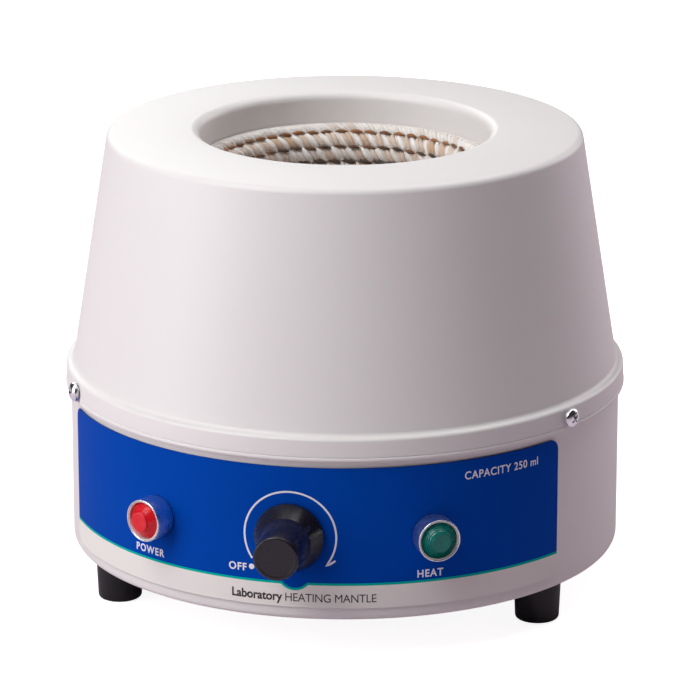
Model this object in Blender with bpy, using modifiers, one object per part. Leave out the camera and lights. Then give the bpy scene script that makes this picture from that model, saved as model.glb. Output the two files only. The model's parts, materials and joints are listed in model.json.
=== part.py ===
"""Electric heating mantle for a round bottom flask, modelled as it is put together.

A spun metal cover drops over a painted lower housing that carries the controls. The flask sits in a
knitted glass-fibre nest, which rests in insulation inside a metal can on three pillars. Lengths are in
metres, +Z is up, the front faces -Y, and the origin is on the floor under the middle of the mantle.
"""

from math import acos, atan2, cos, pi, radians, sin, sqrt, tan

import bmesh
import bpy
from mathutils import Matrix, Vector

MM = 0.001

# Fits between pieces
GAP = 0.3 * MM                  # left between neighbours that touch
HOLE_PLAY = 0.4 * MM            # radial play of a neck or shank in its hole
HOLE_REACH = 8.0 * MM           # how far a hole's cutter passes the wall on each side

# Flask and nest
FLASK_RADIUS = 42.5 * MM        # 250 ml round bottom flask
FLASK_PLAY = 0.5 * MM
NEST_WALL = 5.5 * MM
NEST_RIM_WIDTH = 8.0 * MM       # how far the rim flares out from the bowl
NEST_RIM_RISE = 12.0 * MM       # rim above the middle of the flask
WIRE_RADIUS = 0.8 * MM          # heating wire, wound on the back of the nest
WIRE_PLAY = 1.0 * MM
WIRE_TURNS = 4
WIRE_STEPS = 24                 # straight stretches in each turn
WIRE_FIRST = radians(22)        # winding's ends, measured up from the bottom of the bowl
WIRE_LAST = radians(82)
RING_WIRE_RADIUS = 1.3 * MM     # ring that holds the nest's rim
INSULATION = 12.0 * MM
CAN_WALL = 0.8 * MM
CAN_EDGE_ROUND = 5.0 * MM

# Cover
COVER_WALL = 1.0 * MM
COVER_RISE = 21.0 * MM          # flat top above the middle of the flask
TOP_EDGE_ROUND = 4.0 * MM
LIP_RISE = 0.9 * MM             # the top climbs a little towards the throat
LIP_ROUND = 3.0 * MM
THROAT_DEPTH = 12.4 * MM
THROAT_PLAY = 0.5 * MM          # throat wall round the nest's rim
CONE_SLOPE = 0.159              # radius lost for each unit of height
CONE_FOOT_ROUND = 1.6 * MM
LEDGE_WIDTH = 2.5 * MM          # from the cone's foot out to the band
LEDGE_DROP = 0.5 * MM
LEDGE_CLEARANCE = 0.3 * MM      # ledge's underside over the housing's top edge
BAND_OVERLAP = 6.8 * MM         # band over the top of the housing
BAND_PLAY = 0.9 * MM            # band's inside over the housing's outside
BAND_FLARE = 0.45 * MM
BAND_EDGE_ROUND = 1.2 * MM

# Lower housing
FOOT_HEIGHT = 15.0 * MM
HOUSING_RADIUS = 98.2 * MM
HOUSING_HEIGHT = 64.5 * MM
HOUSING_WALL = 1.0 * MM
HOUSING_EDGE_ROUND = 2.0 * MM
FLANGE_WIDTH = 26.0 * MM
PLATE_WALL = 1.2 * MM
PLATE_INSET = 4.0 * MM          # bottom plate's edge inside the housing wall
SLOT_COUNT = 16
SLOT_CIRCLE = 26.0 * MM         # middle of the cooling slots
SLOT_LENGTH = 16.0 * MM
SLOT_WIDTH = 3.0 * MM
BAY_HEIGHT = 59.9 * MM          # room for the controls under the can
SHIELD_DROP = 12.0 * MM         # heat shield below the can
SHIELD_WALL = 0.8 * MM

# Feet
FOOT_AZIMUTHS = (radians(-57.3), radians(62.5), radians(182.6))
FOOT_INSET = 11.8 * MM          # foot's axis inside the housing's outer wall
FOOT_TOP_RADIUS = 8.3 * MM
FOOT_BOTTOM_RADIUS = 7.7 * MM
FOOT_RECESS_DEPTH = 9.0 * MM
FOOT_EDGE_ROUND = 1.2 * MM

# M4 screws and nuts
M4_SHANK = 1.9 * MM
M4_HEAD_RADIUS = 3.5 * MM
M4_HEAD_HEIGHT = 2.6 * MM
M4_HEAD_ROUND = 1.2 * MM
M4_NUT_FLATS = 7.0 * MM
M4_NUT_HEIGHT = 3.2 * MM
M4_END_SHOWS = 1.5 * MM         # thread past a nut
M4_END_ROOM = 2.0 * MM          # left at the end of a blind thread

# Band screws
SCREW_AZIMUTHS = (radians(-59.7), radians(62), radians(181))
SCREW_BELOW_RIM = 2.6 * MM      # screw axis below the housing's top edge
SCREW_LENGTH = 9.5 * MM

# Pillars under the can
PILLAR_AZIMUTHS = (radians(-60), radians(60), radians(180))
PILLAR_CIRCLE = 46.0 * MM
PILLAR_RADIUS = 4.5 * MM
PILLAR_NECK_RADIUS = 3.0 * MM
PILLAR_THREAD_DEPTH = 12.0 * MM

# Label
LABEL_SWEEP = radians(121.4)
LABEL_TURN = radians(-1.5)
LABEL_BOTTOM = 4.8 * MM         # above the housing's bottom
LABEL_TOP = 2.6 * MM            # below the band
LABEL_WALL = 0.3 * MM

# Controls on the front
CONTROL_HEIGHT = 30.2 * MM      # control axes above the housing's bottom
KNOB_LENGTH = 22.9 * MM
KNOB_SKIRT_RADIUS = 12.1 * MM
KNOB_SKIRT_HEIGHT = 6.6 * MM
KNOB_ROOT_RADIUS = 8.75 * MM
KNOB_FACE_RADIUS = 7.7 * MM
KNOB_POINTER_AZIMUTH = radians(54)
KNOB_POINTER_WIDTH = 1.6 * MM
KNOB_POINTER_RISE = 1.6 * MM
KNOB_POINTER_TAPER = 0.7        # share of the rise left at the front
KNOB_POINTER_END = 2.2 * MM     # pointer's end behind the face
KNOB_RECESS_DEPTH = 3.4 * MM
KNOB_RECESS_WALL = 1.6 * MM
KNOB_LIFT = 0.6 * MM            # knob's back above the label
SHAFT_RADIUS = 3.0 * MM
SHAFT_ENGAGEMENT = 12.0 * MM
BUSHING_RADIUS = 3.9 * MM
BUSHING_REACH = 2.6 * MM        # bushing's end above the label
POT_BODY_RADIUS = 8.5 * MM
POT_BODY_LENGTH = 10.0 * MM
POT_BACK_WALL = 1.0 * MM
POT_NUT_FLATS = 10.0 * MM
POT_NUT_HEIGHT = 2.0 * MM
GRUB_RADIUS = 1.5 * MM
GRUB_LENGTH = 4.6 * MM
GRUB_HEIGHT = 6.2 * MM          # grub screw's axis above the knob's back

LAMP_AZIMUTHS = {"power": radians(-29.4), "heat": radians(28.2)}
LAMP_RADIUS = 7.45 * MM
LAMP_REACH = 7.9 * MM           # collar's front above the label
LAMP_RIM_WALL = 0.55 * MM
LAMP_CUP_DEPTH = 4.3 * MM
LAMP_NECK_RADIUS = 5.6 * MM
LAMP_NECK_BORE = 4.4 * MM
LAMP_NECK_LENGTH = 15.0 * MM
LAMP_BUTTON_RADIUS = 3.5 * MM
LAMP_BUTTON_HEIGHT = 0.4 * MM
LAMP_BUTTON_PROUD = 1.9 * MM    # in front of the collar
LAMP_LENS_EDGE = 2.4 * MM
LAMP_STEM_LENGTH = 3.0 * MM
LAMP_HOLDER_LENGTH = 14.0 * MM
LAMP_NUT_FLATS = 14.0 * MM
LAMP_NUT_HEIGHT = 3.0 * MM

# Rear fittings
REAR_NUT_HEIGHT = 3.0 * MM
GLAND_AZIMUTH = radians(180)
GLAND_HEIGHT = 24.0 * MM        # above the housing's bottom
GLAND_REACH = 24.1 * MM         # dome nut's front above the housing
GLAND_BORE = 4.3 * MM
GLAND_NECK_RADIUS = 7.4 * MM
GLAND_HEX_FLATS = 19.0 * MM
GLAND_HEX_HEIGHT = 5.0 * MM
GLAND_NUT_RADIUS = 9.6 * MM
GLAND_NUT_TAPER = 6.0 * MM      # length of the dome
GLAND_NUT_ROUND = 3.0 * MM
GLAND_NUT_LIP = 1.6 * MM
GLAND_INSIDE = 10.0 * MM
GLAND_THREAD = 5.0 * MM         # outer thread beyond the hexagon
GLAND_SEAL_LENGTH = 4.0 * MM
FUSE_AZIMUTH = radians(150)
FUSE_FLANGE_RADIUS = 8.0 * MM
FUSE_FLANGE_HEIGHT = 2.2 * MM
FUSE_NECK_RADIUS = 6.2 * MM
FUSE_BORE = 4.2 * MM
FUSE_LENGTH = 32.0 * MM
FUSE_END_WALL = 1.5 * MM
FUSE_CAP_RADIUS = 6.6 * MM
FUSE_CAP_HEIGHT = 7.5 * MM
FUSE_STEM_RADIUS = 3.7 * MM
FUSE_STEM_LENGTH = 9.0 * MM
FUSE_LINK_RADIUS = 2.6 * MM
FUSE_SLOT_WIDTH = 1.2 * MM      # coin slot in the carrier's cap
FUSE_SLOT_DEPTH = 1.0 * MM
FUSE_NUT_FLATS = 15.0 * MM

# Electronics on the bottom plate
BRACKET_SIZE = Vector((54.0, 16.0, 34.0)) * MM
BRACKET_WALL = 1.2 * MM
BRACKET_PLACE = Vector((0.0, 2.0)) * MM
BOARD_SIZE = Vector((50.0, 1.6, 30.0)) * MM
BOARD_STANDOFF = 4.0 * MM
BOARD_LIFT = 3.0 * MM           # board's middle above the bracket's
TRIAC_SIZE = Vector((10.0, 4.5, 15.0)) * MM
CAPACITOR_SIZE = Vector((18.0, 8.0, 14.0)) * MM
TERMINAL_SIZE = Vector((28.0, 16.0, 14.0)) * MM
TERMINAL_PLACE = Vector((-42.0, 34.0)) * MM
LEAD_RADIUS = 1.2 * MM
LEAD_STRAIGHT = 8.0 * MM        # straight stretch below the heat shield
LEAD_STEPS = 12
LEAD_PLACES = (Vector((-17.0, 30.0)) * MM, Vector((-9.0, 32.0)) * MM)

# Heights and radii that follow from the sizes above
HOUSING_BOTTOM = FOOT_HEIGHT
HOUSING_TOP = HOUSING_BOTTOM + HOUSING_HEIGHT
PLATE_BOTTOM = HOUSING_BOTTOM + HOUSING_WALL + GAP
PLATE_TOP = PLATE_BOTTOM + PLATE_WALL
CAN_BOTTOM = PLATE_TOP + BAY_HEIGHT
BOWL_RADIUS = FLASK_RADIUS + FLASK_PLAY
NEST_RADIUS = BOWL_RADIUS + NEST_WALL
WIRE_SHELL = NEST_RADIUS + WIRE_PLAY + WIRE_RADIUS
BLANKET_BORE = WIRE_SHELL + WIRE_RADIUS + WIRE_PLAY
BLANKET_RADIUS = BLANKET_BORE + INSULATION
CAN_RADIUS = BLANKET_RADIUS + GAP + CAN_WALL
FLASK_CENTRE = CAN_BOTTOM + CAN_WALL + GAP + BLANKET_RADIUS
NEST_RIM_RADIUS = BOWL_RADIUS + NEST_RIM_WIDTH
THROAT_RADIUS = NEST_RIM_RADIUS + THROAT_PLAY
COVER_TOP = FLASK_CENTRE + COVER_RISE
BAND_RADIUS = HOUSING_RADIUS + BAND_PLAY + COVER_WALL
BAND_BOTTOM = HOUSING_TOP - BAND_OVERLAP
LABEL_RADIUS = HOUSING_RADIUS + GAP + LABEL_WALL
CONTROL_Z = HOUSING_BOTTOM + CONTROL_HEIGHT
FOOT_CIRCLE = HOUSING_RADIUS - FOOT_INSET
SCREW_Z = HOUSING_TOP - SCREW_BELOW_RIM
KNOB_BACK = LABEL_RADIUS + KNOB_LIFT
SHIELD_BOTTOM = CAN_BOTTOM - SHIELD_DROP

# Steps round turned pieces, from the shell to the screws
LARGE, BOWL, MEDIUM, SMALL = 40, 30, 20, 12


# Building helpers

def clear_scene():
    for old in list(bpy.data.objects):
        bpy.data.objects.remove(old, do_unlink=True)


def new_collection(name):
    group = bpy.data.collections.new(name)
    bpy.context.scene.collection.children.link(group)
    return group


def new_finish(name, colour, roughness, metallic=0.0):
    finish = bpy.data.materials.new(name)
    finish.use_nodes = True
    shader = finish.node_tree.nodes["Principled BSDF"]
    shader.inputs["Base Color"].default_value = (*colour, 1.0)
    shader.inputs["Roughness"].default_value = roughness
    shader.inputs["Metallic"].default_value = metallic
    return finish


def add_piece(name, mesh, finish, place=None):
    """Link one named piece of the mantle, at its place."""
    piece = bpy.data.objects.new(name, mesh)
    PIECES.objects.link(piece)
    if finish:
        mesh.materials.append(finish)
    piece.matrix_world = place or Matrix()
    return piece


def rounded(corners, steps=2):
    """Corner points (r, z, round) of an outline, with each rounded corner as an arc."""
    outline = []
    for index, (r, z, radius) in enumerate(corners):
        corner = Vector((r, z))
        if not radius:
            outline.append(corner)
            continue
        before = (Vector(corners[index - 1][:2]) - corner).normalized()
        after = (Vector(corners[(index + 1) % len(corners)][:2]) - corner).normalized()
        half = acos(max(-1.0, min(1.0, before.dot(after)))) / 2
        centre = corner + (before + after).normalized() * radius / sin(half)
        start = corner + before * radius / tan(half) - centre
        end = corner + after * radius / tan(half) - centre
        sweep = atan2(start.x * end.y - start.y * end.x, start.dot(end))
        for step in range(steps + 1):
            turn = Matrix.Rotation(sweep * step / steps, 2)
            outline.append(centre + turn @ start)
    return outline


def arc(centre_r, centre_z, radius, start, end, steps):
    """Points of an arc in an outline, from one polar angle to another."""
    angles = [start + (end - start) * step / steps for step in range(steps + 1)]
    return [Vector((centre_r + radius * cos(a), centre_z + radius * sin(a))) for a in angles]


def inside_of(outline, wall):
    """The same open outline moved inwards by a wall, for a shell that runs top to bottom."""
    moved = []
    for index, point in enumerate(outline):
        before = outline[max(index - 1, 0)]
        after = outline[min(index + 1, len(outline) - 1)]
        along = (after - before).normalized()
        moved.append(point + Vector((along.y, -along.x)) * wall)
    return moved


def turned(name, outline, finish, steps, place=None):
    """A turned piece: an outline run down its outer side, spun about the local Z axis.

    An outline that starts and ends on the axis makes a solid; any other is closed into a ring.
    """
    points = [Vector(point[:2]) for point in outline]
    mesh = bpy.data.meshes.new(name)
    edges = [(index, index + 1) for index in range(len(points) - 1)]
    if points[0].x > 0 or points[-1].x > 0:
        edges.append((len(points) - 1, 0))
    mesh.from_pydata([(point.x, 0.0, point.y) for point in points], edges, [])
    piece = add_piece(name, mesh, finish, place)
    spin = piece.modifiers.new("spin", "SCREW")
    spin.axis = "Z"
    spin.angle = 2 * pi
    spin.steps = spin.render_steps = steps
    spin.use_merge_vertices = True
    spin.merge_threshold = 0.000001
    return piece


def boxes(name, size, places):
    """A mesh of equal boxes, one centred on each place."""
    shape = bmesh.new()
    for place in places:
        bmesh.ops.create_cube(shape, size=1.0, matrix=place @ Matrix.Diagonal((*size, 1)))
    mesh = bpy.data.meshes.new(name)
    shape.to_mesh(mesh)
    shape.free()
    return mesh


def block(name, size, centre, finish):
    """A rectangular piece with its size and centre."""
    return add_piece(name, boxes(name, size, [Matrix.Translation(centre)]), finish)


def prism(radius, low, high, sides, phase=0.0):
    """A mesh of a straight prism or cylinder along Z."""
    shape = bmesh.new()
    place = Matrix.Translation((0, 0, (low + high) / 2)) @ Matrix.Rotation(phase, 4, "Z")
    bmesh.ops.create_cone(shape, cap_ends=True, segments=sides, radius1=radius, radius2=radius,
                          depth=high - low, matrix=place)
    mesh = bpy.data.meshes.new("prism")
    shape.to_mesh(mesh)
    shape.free()
    return mesh


def cutter(name, mesh, place):
    """A hidden tool that cuts holes."""
    tool = bpy.data.objects.new(name, mesh)
    CUTTERS.objects.link(tool)
    tool.matrix_world = place
    tool.hide_render = True
    tool.display_type = "WIRE"
    return tool


def cut(piece, *tools, operation="DIFFERENCE"):
    """Cut the tools from a piece, or join them to it."""
    for tool in tools:
        boolean = piece.modifiers.new(operation.lower() + "_" + tool.name, "BOOLEAN")
        boolean.operation = operation
        boolean.solver = "EXACT"
        boolean.object = tool


def hex_nut(name, flats, low, high, bore, finish, place):
    """A plain hexagon nut along the local Z axis."""
    piece = add_piece(name, prism(flats / 2 / cos(pi / 6), low, high, 6), finish, place)
    tool = cutter(name + "_bore", prism(bore, low - MM, high + MM, SMALL), place)
    cut(piece, tool)
    return piece


def on_wall(azimuth, height):
    """Local Z points outwards from the mantle's axis, at an azimuth from the front and a height."""
    lift = Matrix.Translation((0, 0, height))
    return lift @ Matrix.Rotation(azimuth, 4, "Z") @ Matrix.Rotation(pi / 2, 4, "X")


def on_base(azimuth, circle):
    """Local Z is up, over a point on the base at an azimuth from the front."""
    return Matrix.Translation((circle * sin(azimuth), -circle * cos(azimuth), 0))


def hole(name, radius, low, high, place):
    """A round cutter along the local Z axis."""
    return cutter(name + "_hole", prism(radius, low, high, SMALL), place)


def pan_screw(name, base, length, finish, place):
    """A pan head screw along the local Z axis, head outwards, with its shank below the base."""
    outline = rounded([
        (0, base + M4_HEAD_HEIGHT, 0),
        (M4_HEAD_RADIUS, base + M4_HEAD_HEIGHT, M4_HEAD_ROUND),
        (M4_HEAD_RADIUS, base, 0),
        (M4_SHANK, base, 0),
        (M4_SHANK, base - length + M4_SHANK, 0),
        (0, base - length, 0),
    ])
    return turned(name, outline, finish, SMALL, place)


def wall_seat(half_width):
    """Distance from the axis at which a flat face of this half width meets the housing's inside."""
    inner = (HOUSING_RADIUS - HOUSING_WALL) * cos(pi / LARGE)
    return sqrt(inner ** 2 - half_width ** 2) - GAP


# Shell

def make_cover(paint):
    """The spun cover: throat, lip, flat top, cone, ledge and band, from one sheet."""
    throat_foot = COVER_TOP + LIP_RISE - THROAT_DEPTH
    band_top_r = BAND_RADIUS - BAND_FLARE
    band_top = HOUSING_TOP + LEDGE_CLEARANCE + COVER_WALL - LEDGE_DROP / 2
    foot_r = band_top_r - LEDGE_WIDTH
    foot = band_top + LEDGE_DROP
    cone_top_r = foot_r - CONE_SLOPE * (COVER_TOP - foot)
    outside = rounded([
        (THROAT_RADIUS, throat_foot, 0),
        (THROAT_RADIUS, COVER_TOP + LIP_RISE, LIP_ROUND),
        (cone_top_r, COVER_TOP, TOP_EDGE_ROUND),
        (foot_r, foot, CONE_FOOT_ROUND),
        (band_top_r, band_top, BAND_EDGE_ROUND),
        (BAND_RADIUS, BAND_BOTTOM, 0),
    ], steps=3)
    inside = inside_of(outside, COVER_WALL)
    cover = turned("upper_cover", [*outside, *reversed(inside)], paint, LARGE)
    cut(cover, *SCREW_HOLES)


def make_housing(paint):
    """The lower housing: a ring with its bottom edge turned in as a flange."""
    inner = HOUSING_RADIUS - HOUSING_WALL
    flange = HOUSING_RADIUS - FLANGE_WIDTH
    outline = rounded([
        (inner, HOUSING_TOP, 0),
        (HOUSING_RADIUS, HOUSING_TOP, 0),
        (HOUSING_RADIUS, HOUSING_BOTTOM, HOUSING_EDGE_ROUND),
        (flange, HOUSING_BOTTOM, 0),
        (flange, HOUSING_BOTTOM + HOUSING_WALL, 0),
        (inner, HOUSING_BOTTOM + HOUSING_WALL, HOUSING_EDGE_ROUND - HOUSING_WALL),
    ])
    housing = turned("lower_housing", outline, paint, LARGE)
    cut(housing, *SCREW_HOLES, *PANEL_HOLES, *REAR_HOLES, *FOOT_HOLES)


def make_bottom_plate(steel):
    """The pressed plate that closes the bottom, with a ring of cooling slots."""
    radius = HOUSING_RADIUS - HOUSING_WALL - PLATE_INSET
    outline = [(0, PLATE_TOP), (radius, PLATE_TOP), (radius, PLATE_BOTTOM), (0, PLATE_BOTTOM)]
    plate = turned("bottom_plate", outline, steel, MEDIUM)
    shift = Matrix.Translation((0, SLOT_CIRCLE, (PLATE_TOP + PLATE_BOTTOM) / 2))
    places = [Matrix.Rotation(2 * pi * (index + 0.5) / SLOT_COUNT, 4, "Z") @ shift for index in range(SLOT_COUNT)]
    slots = boxes("slots", (SLOT_WIDTH, SLOT_LENGTH, 4 * PLATE_WALL), places)
    cut(plate, cutter("vent_slots", slots, Matrix()), *FOOT_HOLES, *PILLAR_HOLES)


def make_label(film):
    """The printed film, bent round the housing's front."""
    radius = HOUSING_RADIUS + GAP + LABEL_WALL / 2
    start = LABEL_TURN - LABEL_SWEEP / 2
    low = HOUSING_BOTTOM + LABEL_BOTTOM
    high = BAND_BOTTOM - LABEL_TOP
    sheet = bmesh.new()
    ends = [sheet.verts.new((radius * sin(start), -radius * cos(start), z)) for z in (low, high)]
    edge = sheet.edges.new(ends)
    bmesh.ops.spin(sheet, geom=[*ends, edge], cent=(0, 0, 0), axis=(0, 0, 1), angle=LABEL_SWEEP, steps=30)
    mesh = bpy.data.meshes.new("front_label")
    sheet.to_mesh(mesh)
    sheet.free()
    label = add_piece("front_label", mesh, film)
    wall = label.modifiers.new("film", "SOLIDIFY")
    wall.thickness = LABEL_WALL
    wall.offset = 0.0
    cut(label, *PANEL_HOLES)


# Feet and fasteners

def make_foot(side, azimuth, rubber, zinc):
    """A tapered rubber foot with its screw from below and its nut on the bottom plate."""
    place = on_base(azimuth, FOOT_CIRCLE)
    top = HOUSING_BOTTOM - GAP
    bore = M4_SHANK + HOLE_PLAY
    recess = M4_HEAD_RADIUS + 2 * HOLE_PLAY
    outline = rounded([
        (bore, top, 0),
        (FOOT_TOP_RADIUS, top, 0),
        (FOOT_BOTTOM_RADIUS, 0, FOOT_EDGE_ROUND),
        (recess, 0, 0),
        (recess, FOOT_RECESS_DEPTH, 0),
        (bore, FOOT_RECESS_DEPTH, 0),
    ])
    turned("foot_" + side, outline, rubber, MEDIUM, place)
    head_base = FOOT_RECESS_DEPTH - GAP
    nut_low = PLATE_TOP + GAP
    length = nut_low + M4_NUT_HEIGHT + M4_END_SHOWS - head_base
    pan_screw("foot_screw_" + side, -head_base, length, zinc, place @ Matrix.Rotation(pi, 4, "X"))
    hex_nut("foot_nut_" + side, M4_NUT_FLATS, nut_low, nut_low + M4_NUT_HEIGHT, bore, zinc, place)


def make_band_screw(side, azimuth, zinc):
    """A screw through the band into the top of the housing."""
    pan_screw("band_screw_" + side, BAND_RADIUS + GAP, SCREW_LENGTH, zinc, on_wall(azimuth, SCREW_Z))


# Knob and potentiometer

def make_knob(plastic, steel):
    """The knob that turns with the shaft: flared skirt, tapered grip and a raised pointer."""
    place = on_wall(0.0, CONTROL_Z) @ Matrix.Rotation(-KNOB_POINTER_AZIMUTH, 4, "Z")
    face = KNOB_BACK + KNOB_LENGTH
    root = KNOB_BACK + KNOB_SKIRT_HEIGHT
    ceiling = KNOB_BACK + KNOB_RECESS_DEPTH
    bore = SHAFT_RADIUS + GAP
    recess = KNOB_SKIRT_RADIUS - KNOB_RECESS_WALL
    outline = rounded([
        (0, face, 0),
        (KNOB_FACE_RADIUS, face, 0.7 * MM),
        (KNOB_ROOT_RADIUS, root, 0.8 * MM),
        (KNOB_SKIRT_RADIUS, KNOB_BACK + 1.0 * MM, 0.4 * MM),
        (KNOB_SKIRT_RADIUS, KNOB_BACK, 0.3 * MM),
        (recess, KNOB_BACK, 0),
        (recess, ceiling, 0),
        (bore, ceiling, 0),
        (bore, ceiling + SHAFT_ENGAGEMENT + GAP, 0),
        (0, ceiling + SHAFT_ENGAGEMENT + GAP, 0),
    ])
    knob = turned("control_knob", outline, plastic, MEDIUM, place)

    pointer_foot = KNOB_BACK + KNOB_RECESS_DEPTH + 0.4 * MM
    inside = KNOB_FACE_RADIUS - 2 * MM
    flank = KNOB_ROOT_RADIUS + KNOB_POINTER_RISE
    side_view = [
        (inside, pointer_foot),
        (flank, pointer_foot),
        (flank, root),
        (KNOB_FACE_RADIUS + KNOB_POINTER_RISE * KNOB_POINTER_TAPER, face - KNOB_POINTER_END),
        (inside, face - KNOB_POINTER_END + 1.0 * MM),
    ]
    fin = bmesh.new()
    half = KNOB_POINTER_WIDTH / 2
    outline_face = fin.faces.new([fin.verts.new((-half, r, z)) for r, z in side_view])
    grown = bmesh.ops.extrude_face_region(fin, geom=[outline_face])
    moved = [item for item in grown["geom"] if isinstance(item, bmesh.types.BMVert)]
    bmesh.ops.translate(fin, verts=moved, vec=(KNOB_POINTER_WIDTH, 0, 0))
    bmesh.ops.recalc_face_normals(fin, faces=fin.faces[:])
    mesh = bpy.data.meshes.new("pointer")
    fin.to_mesh(mesh)
    fin.free()
    cut(knob, cutter("knob_pointer", mesh, place), operation="UNION")

    opposite = Matrix.Rotation(pi, 4, "Z") @ Matrix.Translation((0, 0, KNOB_BACK + GRUB_HEIGHT))
    grub_place = place @ opposite @ Matrix.Rotation(-pi / 2, 4, "X")
    cut(knob, hole("grub", GRUB_RADIUS + HOLE_PLAY, SHAFT_RADIUS / 2, 2 * KNOB_SKIRT_RADIUS, grub_place))
    start = SHAFT_RADIUS + GAP
    end = start + GRUB_LENGTH
    outline = [(0, end), (GRUB_RADIUS, end), (GRUB_RADIUS, start + 0.8 * MM), (0, start)]
    turned("knob_grub_screw", outline, steel, 12, grub_place)


def make_potentiometer(case, steel):
    """The potentiometer behind the panel, its nut in front and its shaft through the middle."""
    place = on_wall(0.0, CONTROL_Z)
    front = wall_seat(POT_BODY_RADIUS)
    back = front - POT_BODY_LENGTH
    bore = SHAFT_RADIUS + GAP
    bushing_end = LABEL_RADIUS + BUSHING_REACH
    outline = [
        (0, back + POT_BACK_WALL),
        (bore, back + POT_BACK_WALL),
        (bore, bushing_end),
        (BUSHING_RADIUS, bushing_end),
        (BUSHING_RADIUS, front),
        (POT_BODY_RADIUS, front),
        (POT_BODY_RADIUS, back),
        (0, back),
    ]
    turned("potentiometer", outline, case, SMALL, place)
    nut_low = LABEL_RADIUS + GAP
    hex_nut("potentiometer_nut", POT_NUT_FLATS, nut_low, nut_low + POT_NUT_HEIGHT,
            BUSHING_RADIUS + HOLE_PLAY, steel, place)
    top = KNOB_BACK + KNOB_RECESS_DEPTH + SHAFT_ENGAGEMENT
    bottom = back + POT_BACK_WALL + GAP
    outline = [(0, top), (SHAFT_RADIUS, top), (SHAFT_RADIUS, bottom), (0, bottom)]
    turned("potentiometer_shaft", outline, steel, SMALL, place)


# Indicator lamps

def make_lamp(kind, azimuth, chrome, lens_finish, case, steel):
    """An indicator lamp: plated collar through the panel, stepped lens, holder and nut behind."""
    place = on_wall(azimuth, CONTROL_Z)
    front = LABEL_RADIUS + LAMP_REACH
    base = LABEL_RADIUS + GAP
    cup_floor = front - LAMP_CUP_DEPTH
    neck_end = base - LAMP_NECK_LENGTH
    outline = [
        (LAMP_RADIUS - LAMP_RIM_WALL, front),
        (LAMP_RADIUS, front),
        (LAMP_RADIUS, base),
        (LAMP_NECK_RADIUS, base),
        (LAMP_NECK_RADIUS, neck_end),
        (LAMP_NECK_BORE, neck_end),
        (LAMP_NECK_BORE, cup_floor),
        (LAMP_RADIUS - LAMP_RIM_WALL, cup_floor),
    ]
    turned(kind + "_lamp_collar", outline, chrome, MEDIUM, place)
    seat = cup_floor + GAP
    lens_radius = LAMP_RADIUS - LAMP_RIM_WALL - HOLE_PLAY
    stem = LAMP_NECK_BORE - HOLE_PLAY
    button = front + LAMP_BUTTON_PROUD
    outline = rounded([
        (0, button, 0),
        (LAMP_BUTTON_RADIUS, button, 0.2 * MM),
        (LAMP_BUTTON_RADIUS, button - LAMP_BUTTON_HEIGHT, 0),
        (lens_radius, seat + LAMP_LENS_EDGE, 0),
        (lens_radius, seat, 0),
        (stem, seat, 0),
        (stem, seat - LAMP_STEM_LENGTH, 0),
        (0, seat - LAMP_STEM_LENGTH, 0),
    ])
    turned(kind + "_lamp_lens", outline, lens_finish, MEDIUM, place)
    holder_top = neck_end - GAP
    outline = [(0, holder_top), (LAMP_NECK_RADIUS, holder_top),
               (LAMP_NECK_RADIUS, holder_top - LAMP_HOLDER_LENGTH), (0, holder_top - LAMP_HOLDER_LENGTH)]
    turned(kind + "_lamp_holder", outline, case, SMALL, place)
    seat = wall_seat(LAMP_NUT_FLATS / 2 / cos(pi / 6))
    hex_nut(kind + "_lamp_nut", LAMP_NUT_FLATS, seat - LAMP_NUT_HEIGHT, seat,
            LAMP_NECK_RADIUS + HOLE_PLAY, steel, place)


# Nest, insulation and can

def make_nest(cloth, steel):
    """The knitted bowl that the flask sits in, and the ring that holds its rim."""
    inner = arc(0, FLASK_CENTRE, BOWL_RADIUS, radians(-90), 0.0, 7)
    outer = arc(0, FLASK_CENTRE, NEST_RADIUS, 0.0, radians(-90), 6)
    inner[0].x = outer[-1].x = 0.0
    rim = FLASK_CENTRE + NEST_RIM_RISE
    flare = NEST_RIM_WIDTH * 0.4
    skirt = NEST_WALL * 0.6
    outline = [
        *inner,
        Vector((BOWL_RADIUS + 0.4 * MM, FLASK_CENTRE + NEST_RIM_RISE * 0.35)),
        Vector((BOWL_RADIUS + flare, rim - flare)),
        Vector((NEST_RIM_RADIUS, rim)),
        Vector((NEST_RIM_RADIUS, rim - skirt)),
        Vector((NEST_RADIUS, FLASK_CENTRE + NEST_RIM_RISE * 0.33)),
        *outer,
    ]
    turned("heating_nest", outline, cloth, BOWL)
    ring = arc(NEST_RIM_RADIUS + 0.4 * MM, FLASK_CENTRE + NEST_RIM_RISE / 2, RING_WIRE_RADIUS,
               radians(90), radians(-210), 5)
    turned("nest_ring", ring, steel, BOWL)


def make_heating_wire(wire):
    """The resistance wire, wound round the back of the nest."""
    count = WIRE_TURNS * WIRE_STEPS
    curve = bpy.data.curves.new("heating_wire", "CURVE")
    curve.dimensions = "3D"
    curve.bevel_depth = WIRE_RADIUS
    curve.bevel_resolution = 1
    curve.use_fill_caps = True
    spline = curve.splines.new("POLY")
    spline.points.add(count)
    for index, point in enumerate(spline.points):
        polar = WIRE_FIRST + (WIRE_LAST - WIRE_FIRST) * index / count
        turn = 2 * pi * WIRE_TURNS * index / count
        r = WIRE_SHELL * sin(polar)
        point.co = (r * cos(turn), r * sin(turn), FLASK_CENTRE - WIRE_SHELL * cos(polar), 1)
    add_piece("heating_wire", curve, wire)


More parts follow.
